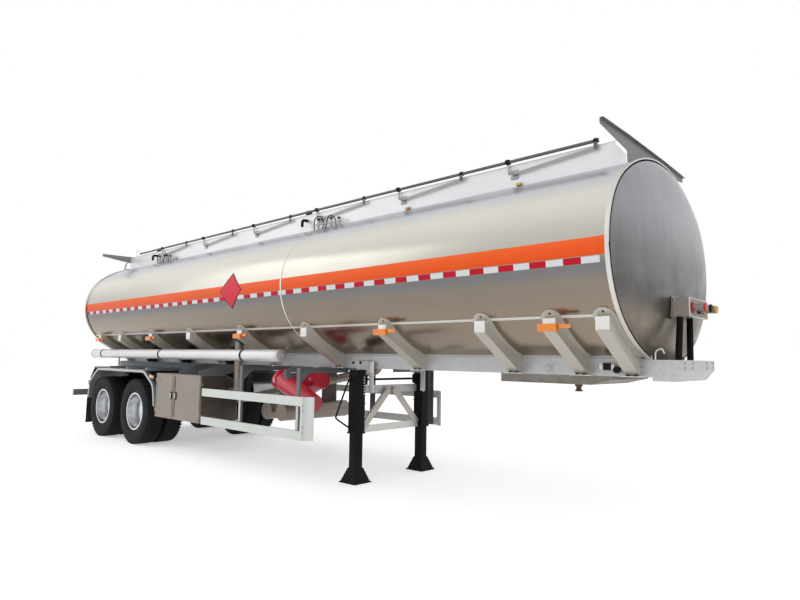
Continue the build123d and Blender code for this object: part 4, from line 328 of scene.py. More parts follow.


# Painted reflection and painted highlight on the polished barrel, by height: brown-grey low down,
# part road film and part painted reflection of the ground, a dark band under the tape, a cream
# painted highlight, and blue-grey painted sky towards the crown.
TANK_PAINTED_REFLECTION_BANDS = (
    (1.42, (0.34, 0.27, 0.20)),
    (1.80, (0.33, 0.27, 0.21)),
    (2.03, (0.27, 0.23, 0.19)),
    (2.16, (0.20, 0.20, 0.20)),
    (2.38, (0.56, 0.54, 0.48)),
    (2.74, (0.80, 0.78, 0.70)),
    (2.98, (0.56, 0.565, 0.61)),
    (3.12, (0.58, 0.59, 0.65)),
)
# Painted reflection on the brushed head, by height: brown painted ground low down, a dark band,
# then blue-grey painted sky higher up.
HEAD_PAINTED_REFLECTION_BANDS = (
    (1.42, (0.26, 0.20, 0.15)),
    (1.75, (0.30, 0.25, 0.20)),
    (1.98, (0.19, 0.18, 0.17)),
    (2.25, (0.27, 0.275, 0.28)),
    (2.75, (0.40, 0.41, 0.43)),
    (3.23, (0.36, 0.37, 0.39)),
)
# Name, colour, roughness, metallic, and what differs from the defaults of make_finish
FINISH_TABLE = (
    # The barrel's and the head's colour bands are painted reflection.
    ("polished barrel", (0.92, 0.92, 0.92), 0.24, 1.0,
     dict(tint=(0.86,) * 3, stretch=(0.25, 3.0, 3.0), scale=30.0, bump=0.05, bands=TANK_PAINTED_REFLECTION_BANDS,
          film_amount=0.10)),
    # The head's dark film, from 2.55 m down to 2.0 m, makes it darker towards the bottom in
    # patches.
    ("brushed head", (0.95, 0.95, 0.95), 0.30, 1.0,
     dict(tint=(0.58, 0.58, 0.60), stretch=(1.0, 5.0, 0.30), scale=7.0, bump=0.06,
          bands=HEAD_PAINTED_REFLECTION_BANDS, film=(0.055, 0.052, 0.050), film_amount=0.62,
          film_heights=(2.55, 2.0), patch_scale=1.9)),
    ("white coaming", (0.84, 0.85, 0.86), 0.38, 0.35, dict(bump=0.04, scale=25.0)),
    ("satin aluminium", (0.66, 0.66, 0.66), 0.42, 0.8, dict(scale=60.0)),
    ("grey wing", (0.235, 0.245, 0.245), 0.45, 0.4, dict(scale=50.0)),
    ("beige arm", (0.60, 0.565, 0.505), 0.40, 0.35,
     dict(tint=(0.86,) * 3, scale=22.0, film_amount=0.35, film_heights=(1.9, 1.2))),
    ("galvanised frame", (0.66, 0.665, 0.67), 0.42, 0.5,
     dict(tint=(0.62, 0.63, 0.65), scale=34.0, bump=0.12, film_amount=0.3,
          film_heights=(1.7, 1.0))),
    ("black paint", (0.007, 0.007, 0.008), 0.42, 0.0,
     dict(tint=(1.4,) * 3, specular=0.07, bump=0.08, scale=90.0, film=(0.06, 0.05, 0.045),
          film_amount=0.16)),
    ("dark running gear", (0.010, 0.010, 0.011), 0.55, 0.0,
     dict(tint=(1.6, 1.5, 1.4), specular=0.25, bump=0.2, scale=60.0, film=(0.09, 0.075, 0.06),
          film_amount=0.3)),
    ("subframe blue grey", (0.19, 0.225, 0.27), 0.45, 0.0, dict(scale=30.0, film_amount=0.3)),
    ("grey bracket", (0.15, 0.155, 0.17), 0.45, 0.0, dict(film_amount=0.3)),
    ("pale guard rail", (0.72, 0.76, 0.73), 0.34, 0.15,
     dict(tint=(0.93,) * 3, stretch=(0.2, 2, 2), film_amount=0.16)),
    ("warm stainless", (0.33, 0.29, 0.255), 0.34, 0.6,
     dict(tint=(0.70,) * 3, stretch=(4.0, 4.0, 0.3), scale=20.0, bump=0.08)),
    ("greased steel", (0.16, 0.12, 0.085), 0.40, 0.5,
     dict(tint=(0.4,) * 3, scale=18.0, bump=0.5, film=(0.07, 0.045, 0.03), film_amount=0.8,
          film_heights=(1.5, 1.1), patch_scale=12.0)),
    ("extinguisher red", (0.60, 0.008, 0.040), 0.26, 0.0,
     dict(tint=(0.85, 0.8, 0.8), coat=0.3, bump=0.03)),
    ("tyre rubber", (0.008, 0.008, 0.0085), 0.72, 0.0,
     dict(tint=(1.4,) * 3, specular=0.22, bump=0.25, scale=120.0, film=(0.060, 0.055, 0.050),
          film_amount=0.3, film_heights=(1.1, 0.0), patch_scale=5.0)),
    ("hose rubber", (0.005, 0.005, 0.005), 0.60, 0.0, dict(specular=0.08, bump=0.3, scale=150.0)),
    ("polished rim", (0.72, 0.73, 0.75), 0.22, 1.0,
     dict(tint=(0.95,) * 3, scale=4.0, bump=0.0, film_amount=0.04, film_heights=(0.9, 0.2))),
    ("amber lens", (0.92, 0.27, 0.01), 0.14, 0.0,
     dict(tint=(0.85, 0.7, 0.6), coat=0.8, bump=0.05, scale=300.0)),
    ("red lens", (0.45, 0.006, 0.006), 0.14, 0.0,
     dict(tint=(0.7,) * 3, coat=0.8, bump=0.05, scale=300.0)),
    ("clear lens", (0.78, 0.80, 0.82), 0.12, 0.0, dict(coat=0.8, bump=0.05, scale=300.0)),
    ("black plastic", (0.009, 0.009, 0.0095), 0.40, 0.0, dict(tint=(1.4,) * 3, specular=0.1)),
    ("orange band", (0.92, 0.135, 0.022), 0.40, 0.0,
     dict(tint=(0.94, 0.9, 0.9), specular=0.2, bump=0.02,
          bands=((2.24, (0.90, 0.66, 0.2)), (2.30, (0.95, 0.8, 0.5)), (2.38, (1.0, 1.0, 1.0))),
          band_range=(2.24, 2.39), film_amount=0.0)),
    ("red tape", (0.56, 0.004, 0.022), 0.40, 0.0, dict(specular=0.2, film_amount=0.05)),
    ("white tape", (0.74, 0.76, 0.78), 0.40, 0.0,
     dict(tint=(0.9,) * 3, specular=0.3, film_amount=0.1)),
    ("diamond red", (0.72, 0.030, 0.055), 0.40, 0.0,
     dict(tint=(0.92, 0.9, 0.9), specular=0.2, bump=0.02)),
    ("dark print", (0.020, 0.006, 0.008), 0.45, 0.0, dict(specular=0.25, bump=0.02)),
    ("dark rail", (0.16, 0.15, 0.14), 0.36, 0.7, dict(tint=(0.6,) * 3)),
    ("grey post", (0.42, 0.42, 0.42), 0.40, 0.6, dict(tint=(0.7,) * 3)),
    ("coupler tray", (0.34, 0.31, 0.28), 0.45, 0.4,
     dict(tint=(0.55,) * 3, scale=14.0, film=(0.075, 0.045, 0.028), film_amount=0.75,
          film_heights=(1.34, 1.22), patch_scale=7.0)),
    ("fender alloy", (0.52, 0.54, 0.56), 0.36, 0.6, dict(tint=(0.85,) * 3, film_amount=0.2)),
    ("pale stub", (0.80, 0.79, 0.76), 0.34, 0.3, dict(tint=(0.9,) * 3, film_amount=0.12)),
    ("taupe box", (0.30, 0.26, 0.235), 0.40, 0.3, dict(film_amount=0.2)),
    # A darker copy of the warm stainless: painted shade for the cabinet's end faces.
    ("cabinet side", (0.085, 0.068, 0.055), 0.36, 0.6, dict(tint=(0.6,) * 3)),
    ("zinc bolt", (0.55, 0.54, 0.52), 0.34, 0.9, dict(scale=120.0)),
    ("yellow cap", (0.75, 0.42, 0.03), 0.40, 0.0, dict(bump=0.05)),
    ("signal red", (0.55, 0.012, 0.015), 0.35, 0.0, dict(coat=0.2, bump=0.05)),
    ("weld bead", (0.72, 0.70, 0.66), 0.36, 0.9, dict(scale=140.0, bump=0.5)),
)
for *surface, extra in FINISH_TABLE:
    make_finish(*surface, **extra)

NODE_FINISH = {
    "polished barrel": ("tank_shell",),
    "brushed head": ("tank_heads",),
    "white coaming": ("top_coaming", "hose_tubes"),
    "satin aluminium": (
        "walkway", "manhole_covers", "fill_lid_front", "fill_lid_middle", "fill_lid_rear",
        "rear_ladder", "hose_tube_brackets",
    ),
    "dark rail": ("handrail_rail", "handrail_brackets"),
    "grey post": tuple(f"handrail_post_{i}" for i in range(1, 7)),
    "grey wing": ("top_wings",),
    "beige arm": ("saddle_arms",),
    "galvanised frame": ("frame_rails", "front_bumper", "leg_mounts", "lamp_board", "leg_braces"),
    "greased steel": ("kingpin",),
    "coupler tray": ("coupler_plate",),
    "black paint": ("landing_legs", "leg_crank"),
    "dark running gear": ("axles", "leaf_springs", "spring_hangers"),
    "subframe blue grey": ("bogie_frame", "cross_tubes"),
    "grey bracket": ("guard_brackets", "side_hangers", "underrun_bar"),
    "pale guard rail": ("side_guards",),
    "fender alloy": ("fenders",),
    "warm stainless": (
        "valve_cabinet", "cabinet_door_front", "cabinet_door_rear", "discharge_pipes",
        "air_tanks",
    ),
    "extinguisher red": ("extinguisher_cases",),
    "hose rubber": ("mudflaps", "connector_hoses"),
    "taupe box": ("connector_box",),
    "black plastic": ("top_valves",),
    "amber lens": ("marker_lamps",),
    "red lens": ("rear_lamps",),
    "tyre rubber": tuple(f"tyres_{a}_{s}" for a in AXLE_NAMES for s, _ in SIDES),
    "polished rim": tuple(f"wheel_{a}_{s}" for a in AXLE_NAMES for s, _ in SIDES),
}


# Shapes made with bmesh operators
def turn_to(direction):
    """The rotation that takes +Z to a direction."""
    return Vector(direction).normalized().to_track_quat("Z", "Y").to_matrix().to_4x4()


def bevel_edges(bm, edges, offset):
    """Rounds some edges in two steps."""
    rounding = dict(offset=offset, segments=2, profile=0.5, affect="EDGES", material=-1)
    bmesh.ops.bevel(bm, geom=edges, **rounding)


def edges_of(made):
    """The edges that touch the points an operator has made, each once and in order."""
    return list(dict.fromkeys(edge for vert in made["verts"] for edge in vert.link_edges))


def add_block(bm, centre, size, bevel=0.0, turn=None):
    """A block, its edges bevelled, turned about its own centre."""
    turn = turn or Matrix.Identity(4)
    place = Matrix.Translation(centre) @ turn @ Matrix.Diagonal((*size, 1))
    made = bmesh.ops.create_cube(bm, size=1.0, matrix=place)
    if bevel:
        bevel_edges(bm, edges_of(made), bevel)


def add_rod(bm, start, end, radius, sides=16, bevel=0.0):
    """A round or many-sided bar between two points, its end edges bevelled."""
    start, end = Vector(start), Vector(end)
    length = (end - start).length
    place = Matrix.Translation((start + end) / 2) @ turn_to(end - start)
    size = dict(segments=sides, radius1=radius, radius2=radius, depth=length)
    made = bmesh.ops.create_cone(bm, cap_ends=True, matrix=place, **size)
    if bevel:
        along = (end - start).normalized()
        rings = []
        for edge in edges_of(made):
            way = (edge.verts[0].co - edge.verts[1].co).normalized()
            if abs(way.dot(along)) < 0.1:
                rings.append(edge)
        bevel_edges(bm, rings, bevel)


def spin_full(bm, geom, centre, axis, steps):
    """Turns an outline a full circle about an axis."""
    circle = dict(cent=centre, axis=axis, dvec=(0, 0, 0), angle=math.tau, steps=steps)
    bmesh.ops.spin(bm, geom=geom, use_merge=True, use_duplicate=False, **circle)


def add_ring(bm, centre, axis, radius, thickness, steps):
    """A round bar bent into a ring about an axis."""
    axis = Vector(axis).normalized()
    out = axis.orthogonal().normalized()
    place = Matrix.Translation(Vector(centre) + out * radius) @ turn_to(out.cross(axis))
    size = dict(cap_ends=False, segments=8, radius=thickness)
    made = bmesh.ops.create_circle(bm, matrix=place, **size)
    spin_full(bm, made["verts"] + edges_of(made), centre, axis, steps)


def closed_loop(bm, points):
    """Points joined into a closed outline: its points and its edges."""
    verts = [bm.verts.new(point) for point in points]
    return verts, [bm.edges.new((a, b)) for a, b in zip(verts, verts[1:] + verts[:1])]


def spin_profile(bm, profile, centre, axis, steps):
    """A closed outline of points turned a full circle about an axis."""
    verts, edges = closed_loop(bm, profile)
    spin_full(bm, verts + edges, centre, axis, steps)


def add_bolt(bm, at, facing, radius=0.010, height=0.008):
    """A hexagon head on a washer, standing on a face."""
    at, facing = Vector(at), Vector(facing).normalized()
    washer = height * 0.25
    add_rod(bm, at - facing * 0.001, at + facing * washer, radius * 1.45, 16)
    add_rod(bm, at + facing * washer, at + facing * height, radius, 6, bevel=radius * 0.14)


def pipe_along(bm, points, radius, corner=0.03):
    """A round bar swept along points, its corners bent to a radius."""
    points = [Vector(p) for p in points]
    path = [points[0]]
    for before, here, after in zip(points, points[1:], points[2:]):
        reach = min(corner, (here - before).length * 0.45, (after - here).length * 0.45)
        first = here + (before - here).normalized() * reach
        last = here + (after - here).normalized() * reach
        for i in range(PIPE_STEPS + 1):
            t = i / PIPE_STEPS
            path.append(first.lerp(here, t).lerp(here.lerp(last, t), t))
    path.append(points[-1])
    rings = []
    side = (path[1] - path[0]).orthogonal().normalized()
    end = len(path) - 1
    for i, point in enumerate(path):
        ahead = (path[min(i + 1, end)] - path[max(i - 1, 0)]).normalized()
        side = (side - ahead * side.dot(ahead)).normalized()
        turn = Matrix((side, ahead.cross(side), ahead)).transposed().to_4x4()
        size = dict(cap_ends=i in (0, end), segments=PIPE_SIDES, radius=radius)
        made = bmesh.ops.create_circle(bm, matrix=Matrix.Translation(point) @ turn, **size)
        rings.append(edges_of(made))
    for before, after in zip(rings, rings[1:]):
        bmesh.ops.bridge_loops(bm, edges=before + after)


def finish_piece(name, bm, finish, slot, body="trailer"):
    """Turns a bmesh into an object that rides on a body and has a finish. The slot is not used."""
    bmesh.ops.remove_doubles(bm, verts=bm.verts, dist=0.00002)
    bmesh.ops.recalc_face_normals(bm, faces=bm.faces)
    mesh = bpy.data.meshes.new(name)
    bm.to_mesh(mesh)
    bm.free()
    mesh.materials.append(FINISHES[finish])
    mesh.polygons.foreach_set("use_smooth", [True] * len(mesh.polygons))
    mesh.set_sharp_from_angle(angle=SHARP_ANGLE)
    piece = bpy.data.objects.new(name, mesh)
    bpy.context.scene.collection.objects.link(piece)
    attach(piece, body)
    return piece


def finish_parts(*parts, body="trailer"):
    """Finishes rows of name, bmesh, finish and slot as pieces of one body."""
    for part in parts:
        finish_piece(*part, body)


def flank_y(z, lift=0.0):
    """How far out the barrel's flank is at height z."""
    return FLANK_CENTRE_Y + math.sqrt((FLANK_RADIUS + lift) ** 2 - (z - TANK_Z) ** 2)


def flank_sheet(bm, side, x0, x1, z0, z1, lift, rows=6):
    """A thin sheet that lies on the barrel's flank."""
    start = math.asin((z0 - TANK_Z) / FLANK_RADIUS)
    end = math.asin((z1 - TANK_Z) / FLANK_RADIUS)
    centre = Vector((x0, side * FLANK_CENTRE_Y, TANK_Z))
    outer, inner = FLANK_RADIUS + lift, FLANK_RADIUS - 0.004
    out, up = side * math.cos(start), math.sin(start)
    corners = []
    for along, radius in ((0, inner), (x1 - x0, inner), (x1 - x0, outer), (0, outer)):
        corners.append(bm.verts.new(centre + Vector((along, out * radius, radius * up))))
    sweep = dict(cent=centre, axis=(1, 0, 0), dvec=(0, 0, 0), angle=side * (end - start))
    face = bm.faces.new(corners)
    bmesh.ops.spin(bm, geom=[face], steps=rows, use_merge=False, use_duplicate=False, **sweep)


def tank_outline(lift):
    """Points round the barrel's section, in order, each as y and z."""
    points = []
    for y, rise, radius, start, end in (
        (FLANK_CENTRE_Y, 0.0, FLANK_RADIUS, -ARC_CORNER, ARC_CORNER),
        (0.0, -CROWN_CENTRE_DROP, CROWN_RADIUS, ARC_CORNER, math.pi - ARC_CORNER),
        (-FLANK_CENTRE_Y, 0.0, FLANK_RADIUS, math.pi - ARC_CORNER, math.pi + ARC_CORNER),
        (0.0, CROWN_CENTRE_DROP, CROWN_RADIUS, math.pi + ARC_CORNER, math.tau - ARC_CORNER),
    ):
        reach = radius + lift
        for i in range(ARC_STEPS):
            angle = start + (end - start) * i / ARC_STEPS
            points.append((y + reach * math.cos(angle), TANK_Z + rise + reach * math.sin(angle)))
    return points


def tank_ring(bm, x0, x1, inner, outer):
    """A flat ring that follows the barrel's section from x0 to x1."""
    loops = []
    for x, lift in ((x0, inner), (x0, outer), (x1, outer), (x1, inner)):
        loops.append(closed_loop(bm, [(x, y, z) for y, z in tank_outline(lift)])[1])
    for near, far in zip(loops, loops[1:] + loops[:1]):
        bmesh.ops.bridge_loops(bm, edges=near + far)


def saddle_pad(bm, x, side):
    """The plate under one saddle arm, round at its top, that follows the barrel to the frame."""
    top = math.asin((PAD_TOP_Z - TANK_Z) / FLANK_RADIUS)
    stations = []
    for i in range(13):
        angle = top + (-ARC_CORNER - top) * i / 12
        run = (top - angle) * FLANK_RADIUS
        half = PAD_HALF
        if run <= PAD_HALF:
            half = math.sqrt(max(PAD_HALF**2 - (PAD_HALF - run) ** 2, 0.0004))
        stations.append((FLANK_CENTRE_Y, 0.0, FLANK_RADIUS, angle, half))
    foot = math.pi / 2 - math.asin(PAD_FOOT_Y / CROWN_RADIUS)
    for i in range(1, 9):
        angle = ARC_CORNER + (foot - ARC_CORNER) * i / 8
        stations.append((0.0, CROWN_CENTRE_DROP, CROWN_RADIUS, -angle, PAD_HALF))
    loops = []
    for y, rise, radius, angle, half in stations:
        section = []
        for along, lift in ((-half, 0.0), (half, 0.0), (half, PAD_LIFT), (-half, PAD_LIFT)):
            reach = radius + lift
            out, up = y + reach * math.cos(angle), TANK_Z + rise + reach * math.sin(angle)
            section.append((x + along, side * out, up))
        ring, edges = closed_loop(bm, section)
        loops.append(edges)
        if len(loops) in (1, len(stations)):
            bm.faces.new(ring)
    for near, far in zip(loops, loops[1:]):
        bmesh.ops.bridge_loops(bm, edges=near + far)


def new_meshes(count):
    """Some empty bmeshes."""
    return [bmesh.new() for _ in range(count)]


class TrailerSizes(bpy.types.PropertyGroup):
    """Sizes of the fittings that are dressed onto the trailer."""

    band_bottom: bpy.props.FloatProperty(
        name="Band bottom",
        description="Height of the orange band's lower edge",
        default=2.244,
        unit="LENGTH",
    )
    band_top: bpy.props.FloatProperty(
        name="Band top",
        description="Height of the orange band's upper edge",
        default=2.384,
        unit="LENGTH",
    )
    tape_bottom: bpy.props.FloatProperty(
        name="Tape bottom",
        description="Height of the tape's lower edge",
        default=2.186,
        unit="LENGTH",
    )
    tape_top: bpy.props.FloatProperty(
        name="Tape top", description="Height of the tape's upper edge", default=2.238, unit="LENGTH"
    )
    tape_blocks: bpy.props.IntProperty(
        name="Tape blocks", description="Red and white blocks along one side", default=68, min=2
    )
    diamond_half: bpy.props.FloatProperty(
        name="Diamond half width",
        description="Half the width of the blank diamond",
        default=0.265,
        unit="LENGTH",
    )
    tread_depth: bpy.props.FloatProperty(
        name="Tread depth",
        description="Depth of the grooves in the tyres",
        default=0.011,
        unit="LENGTH",
    )


class TrailerStage(bpy.types.PropertyGroup):
    """Camera and light."""

    lens: bpy.props.FloatProperty(
        name="Lens",
        description="Focal length on a 36 mm sensor",
        default=26.25,
        subtype="DISTANCE_CAMERA",
    )
    floor_colour: bpy.props.FloatVectorProperty(
        name="Floor",
        description="Colour of the floor",
        default=(0.88, 0.88, 0.88),
        subtype="COLOR",
        size=3,
    )
    floor_glow: bpy.props.FloatProperty(
        name="Floor glow",
        description="Light added to the floor where the camera sees it",
        default=0.42,
        min=0.0,
    )
    world_strength: bpy.props.FloatProperty(
        name="World strength", description="Light from all round", default=0.72, min=0.0
    )
    key_power: bpy.props.FloatProperty(
        name="Key power",
        description="Power of the large lamp overhead",
        default=330.0,
        unit="POWER",
    )


class TRAILER_OT_stage(bpy.types.Operator):
    """Floor, world, lamps and the camera of the photograph's view"""

    bl_idname = "trailer.stage"
    bl_label = "Stage"

    def execute(self, context):
        scene, stage = context.scene, context.scene.trailer_stage
        bm = bmesh.new()
        bmesh.ops.create_grid(bm, x_segments=2, y_segments=2, size=90.0)
        mesh = bpy.data.meshes.new("floor")
        bm.to_mesh(mesh)
        bm.free()
        floor = bpy.data.objects.new("floor", mesh)
        scene.collection.objects.link(floor)
        material = bpy.data.materials.new("pale floor")
        material.use_nodes = True
        tree = material.node_tree
        shader = tree.nodes["Principled BSDF"]
        set_inputs(tree, shader, {"Base Color": (*stage.floor_colour, 1), "Roughness": 0.9})
        level = add_math(tree, "MULTIPLY", seen_rays(tree), stage.floor_glow)
        glow = add_node(tree, "ShaderNodeEmission", {"Strength": level}).outputs[0]
        both = add_node(tree, "ShaderNodeAddShader", {0: shader.outputs[0], 1: glow}).outputs[0]
        set_inputs(tree, tree.nodes["Material Output"], {"Surface": both})
        mesh.materials.append(material)

        world = bpy.data.worlds.new("studio")
        scene.world = world
        world.use_nodes = True
        tree = world.node_tree
        inputs = {"Value": seen_rays(tree), "To Min": stage.world_strength, "To Max": 1.0}
        level = add_node(tree, "ShaderNodeMapRange", inputs).outputs["Result"]
        set_inputs(tree, tree.nodes["Background"], {"Strength": level, "Color": (1, 1, 1, 1)})

        for name, at, aim, size, power in (
            ("key", (7.0, -10.0, 9.0), (0.0, 0.0, 1.8), 7.0, stage.key_power),
            ("fill", (-10.0, -9.0, 7.0), (-2.0, 0.0, 1.5), 8.0, stage.key_power * 0.6),
            ("back", (0.0, 12.0, 8.0), (0.0, 0.0, 2.0), 8.0, stage.key_power * 0.5),
        ):
            lamp = bpy.data.lights.new(name, "AREA")
            lamp.size = size
            lamp.energy = power
            holder = bpy.data.objects.new(name, lamp)
            holder.location = at
            way = Vector(aim) - Vector(at)
            holder.rotation_euler = way.to_track_quat("-Z", "Y").to_euler()
            scene.collection.objects.link(holder)

        camera = bpy.data.objects.new("camera", bpy.data.cameras.new("camera"))
        camera.data.lens = stage.lens
        camera.data.sensor_width = 36.0
        camera.data.clip_end = 300.0
        flat, rise = math.cos(CAMERA_PITCH), math.sin(CAMERA_PITCH)
        ahead = Vector((-math.cos(CAMERA_YAW) * flat, math.sin(CAMERA_YAW) * flat, rise))
        right = ahead.cross(Vector((0, 0, 1))).normalized()
        up = right.cross(ahead)
        c, s = math.cos(CAMERA_ROLL), math.sin(CAMERA_ROLL)
        turn = Matrix((right * c + up * s, up * c - right * s, -ahead)).transposed().to_4x4()
        camera.matrix_world = Matrix.Translation(CAMERA_AT) @ turn
        scene.collection.objects.link(camera)
        scene.camera = camera
        scene.view_settings.view_transform = "Standard"
        return {"FINISHED"}


class TRAILER_OT_finishes(bpy.types.Operator):
    """Gives every CAD node its procedural finish"""

    bl_idname = "trailer.finishes"
    bl_label = "Finishes"

    def execute(self, context):
        bare = set(NODES)
        for finish, names in NODE_FINISH.items():
            for name in names:
                for holder in NODES[name].material_slots:
                    holder.material = FINISHES[finish]
            bare -= set(names)
        if bare:
            raise RuntimeError(f"nodes without a finish: {sorted(bare)}")
        return {"FINISHED"}


class TRAILER_OT_shell_trim(bpy.types.Operator):
    """Lips round both heads, the weld bead and the battens along the flanks"""

    bl_idname = "trailer.shell_trim"
    bl_label = "Shell trim"

    def execute(self, context):
        lips, bead = new_meshes(2)
        tank_ring(lips, TANK_FRONT_X - 0.004, TANK_FRONT_X + 0.028, 0.002, RIM_GROW + 0.005)
        tank_ring(lips, TANK_REAR_X - 0.028, TANK_REAR_X + 0.004, 0.002, RIM_GROW + 0.005)
        tank_ring(bead, WELD_X - 0.011, WELD_X + 0.011, -0.002, 0.0045)
        rear, front = TANK_REAR_X + RIM_BAND, TANK_FRONT_X - RIM_BAND
        for _, side in SIDES:
            flank_sheet(bead, side, rear, front, SEAM_Z - 0.009, SEAM_Z + 0.009, 0.0065, 2)
        finish_parts(
            ("head_lips", lips, "weld bead", "aluminium_plain"),
            ("weld_bead_and_battens", bead, "pale stub", "aluminium_plain"),
        )
        return {"FINISHED"}


class TRAILER_OT_band(bpy.types.Operator):
    """The orange band and the red and white tape along both flanks"""

    bl_idname = "trailer.band"
    bl_label = "Band and tape"

    def execute(self, context):
        sizes = context.scene.trailer_sizes
        band, white, red = new_meshes(3)
        rear, front = TANK_REAR_X + RIM_BAND, TANK_FRONT_X - RIM_BAND
        ends = ((TANK_REAR_X, rear), (front, TANK_FRONT_X - 0.005))
        low, high = sizes.band_bottom, sizes.band_top
        for _, side in SIDES:
            flank_sheet(band, side, rear, front, low, high, SHEET_LIFT)
            for x0, x1 in ends:
                flank_sheet(band, side, x0, x1, low, high, RIM_GROW + SHEET_LIFT)
        finish_piece("orange_band", band, "orange band", "lamp_amber")
        length = (TANK_FRONT_X - TANK_REAR_X - 0.10) / sizes.tape_blocks
        low, high = sizes.tape_bottom, sizes.tape_top
        for first, tape in enumerate((white, red)):
            for _, side in SIDES:
                for i in range(first, sizes.tape_blocks, 2):
                    front = TANK_FRONT_X - 0.05 - i * length
                    flank_sheet(tape, side, front - length, front, low, high, SHEET_LIFT, rows=2)
        finish_parts(
            ("white_tape", white, "white tape", "guard_white"),
            ("red_tape", red, "red tape", "case_red"),
        )
        return {"FINISHED"}


class TRAILER_OT_diamond(bpy.types.Operator):
    """The blank red diamond with its dark edge on each flank"""

    bl_idname = "trailer.diamond"
    bl_label = "Diamond"

    def execute(self, context):
        half = context.scene.trailer_sizes.diamond_half
        centre_x, centre_z = -0.030, 2.312
        turn = Matrix.Rotation(math.pi / 4, 3, "Z")
        for name, finish, slot, grow, lift in (
            ("diamond_edge", "dark print", "steel_black", 1.0, 0.0022),
            ("diamond_field", "diamond red", "case_red", 0.93, 0.0030),
        ):
            bm = bmesh.new()
            size = half * grow / math.sqrt(2)
            for _, side in SIDES:
                made = bmesh.ops.create_grid(bm, x_segments=10, y_segments=10, size=size)
                bmesh.ops.rotate(bm, verts=made["verts"], cent=(0, 0, 0), matrix=turn)
                for vert in made["verts"]:
                    z = centre_z + vert.co.y * 0.92
                    vert.co = Vector((centre_x + vert.co.x, side * flank_y(z, lift), z))
            finish_piece(name, bm, finish, slot)
        return {"FINISHED"}


class TRAILER_OT_arm_fittings(bpy.types.Operator):
    """Stub plates, bolts, lamp bases and foot lips on the saddle arms"""

    bl_idname = "trailer.arm_fittings"
    bl_label = "Arm fittings"

    def execute(self, context):
        plates, bolts, bases, pads, strips = new_meshes(5)
        bolt_y = flank_y(ARM_BOLT_Z)
        for number, x in enumerate(ARM_X, start=1):
            for _, side in SIDES:
                saddle_pad(pads, x, side)
                out = Vector((0, side * (bolt_y - FLANK_CENTRE_Y), ARM_BOLT_Z - TANK_Z))
                out.normalize()
                at = Vector((x, side * bolt_y, ARM_BOLT_Z)) + out * PAD_LIFT
                add_bolt(bolts, at, out, 0.007, 0.006)
                add_block(plates, (x, side * 1.064, ARM_STUB_Z), (0.112, 0.006, 0.100), 0.002)
                if number % 2 == 0:
                    at = (x + 0.055, side * 1.072, ARM_LAMP_Z)
                    add_block(bases, at, (0.270, 0.016, 0.024), 0.003)
                    at = (x + 0.145, side * 1.083, ARM_LAMP_Z)
                    add_block(strips, at, (0.110, 0.012, 0.034), 0.004)
                for along in (-0.034, 0.034):
                    at = (x + along, side * 0.500, ARM_FOOT_Z)
                    add_bolt(bolts, at, (0, 0, 1), 0.011, 0.010)
                at = (x, side * 0.490, ARM_FOOT_Z - 0.004)
                add_block(plates, at, (0.200, 0.040, 0.008), 0.002)
        finish_parts(
            ("arm_pads", pads, "beige arm", "aluminium_plain"),
            ("marker_lamp_strips", strips, "amber lens", "lamp_amber"),
            ("arm_stub_plates", plates, "pale stub", "aluminium_plain"),
            ("arm_bolts", bolts, "dark running gear", "steel_black"),
            ("marker_lamp_bases", bases, "black plastic", "valve_black"),
        )
        return {"FINISHED"}


class TRAILER_OT_handrail_fittings(bpy.types.Operator):
    """Clamps, sleeves and end caps on the folding handrail, and the feet of its posts"""

    bl_idname = "trailer.handrail_fittings"
    bl_label = "Handrail fittings"

    def execute(self, context):
        clamps, feet = new_meshes(2)
        for x in POST_FEET_X:
            upright = x - 0.060
            add_block(clamps, (upright, POST_Y, RAIL_Z), (0.050, 0.046, 0.046), 0.006)
            add_bolt(clamps, (upright, POST_Y - 0.023, RAIL_Z), (0, -1, 0), 0.008, 0.007)
            start, end = x + POST_REACH - 0.022, x + POST_REACH + 0.022
            add_rod(clamps, (start, POST_Y, RAIL_Z), (end, POST_Y, RAIL_Z), 0.0215, bevel=0.003)
            path = ((-0.503, 3.290), (-0.522, 3.300), (-0.522, RAIL_Z - 0.024))
            pipe_along(feet, [(upright, y, z) for y, z in path], 0.009, 0.012)
            add_block(feet, (x, -0.5065, POST_FOOT_Z), (0.086, 0.006, 0.092), 0.004)
        for x in RAIL_END_X:
            start, end = (x - 0.014, POST_Y, RAIL_Z), (x + 0.014, POST_Y, RAIL_Z)
            add_rod(clamps, start, end, 0.019, bevel=0.005)
        finish_piece("handrail_clamps", clamps, "black plastic", "steel_black", "handrail_rail")
        finish_piece("handrail_feet", feet, "grey post", "steel_grey")
        return {"FINISHED"}


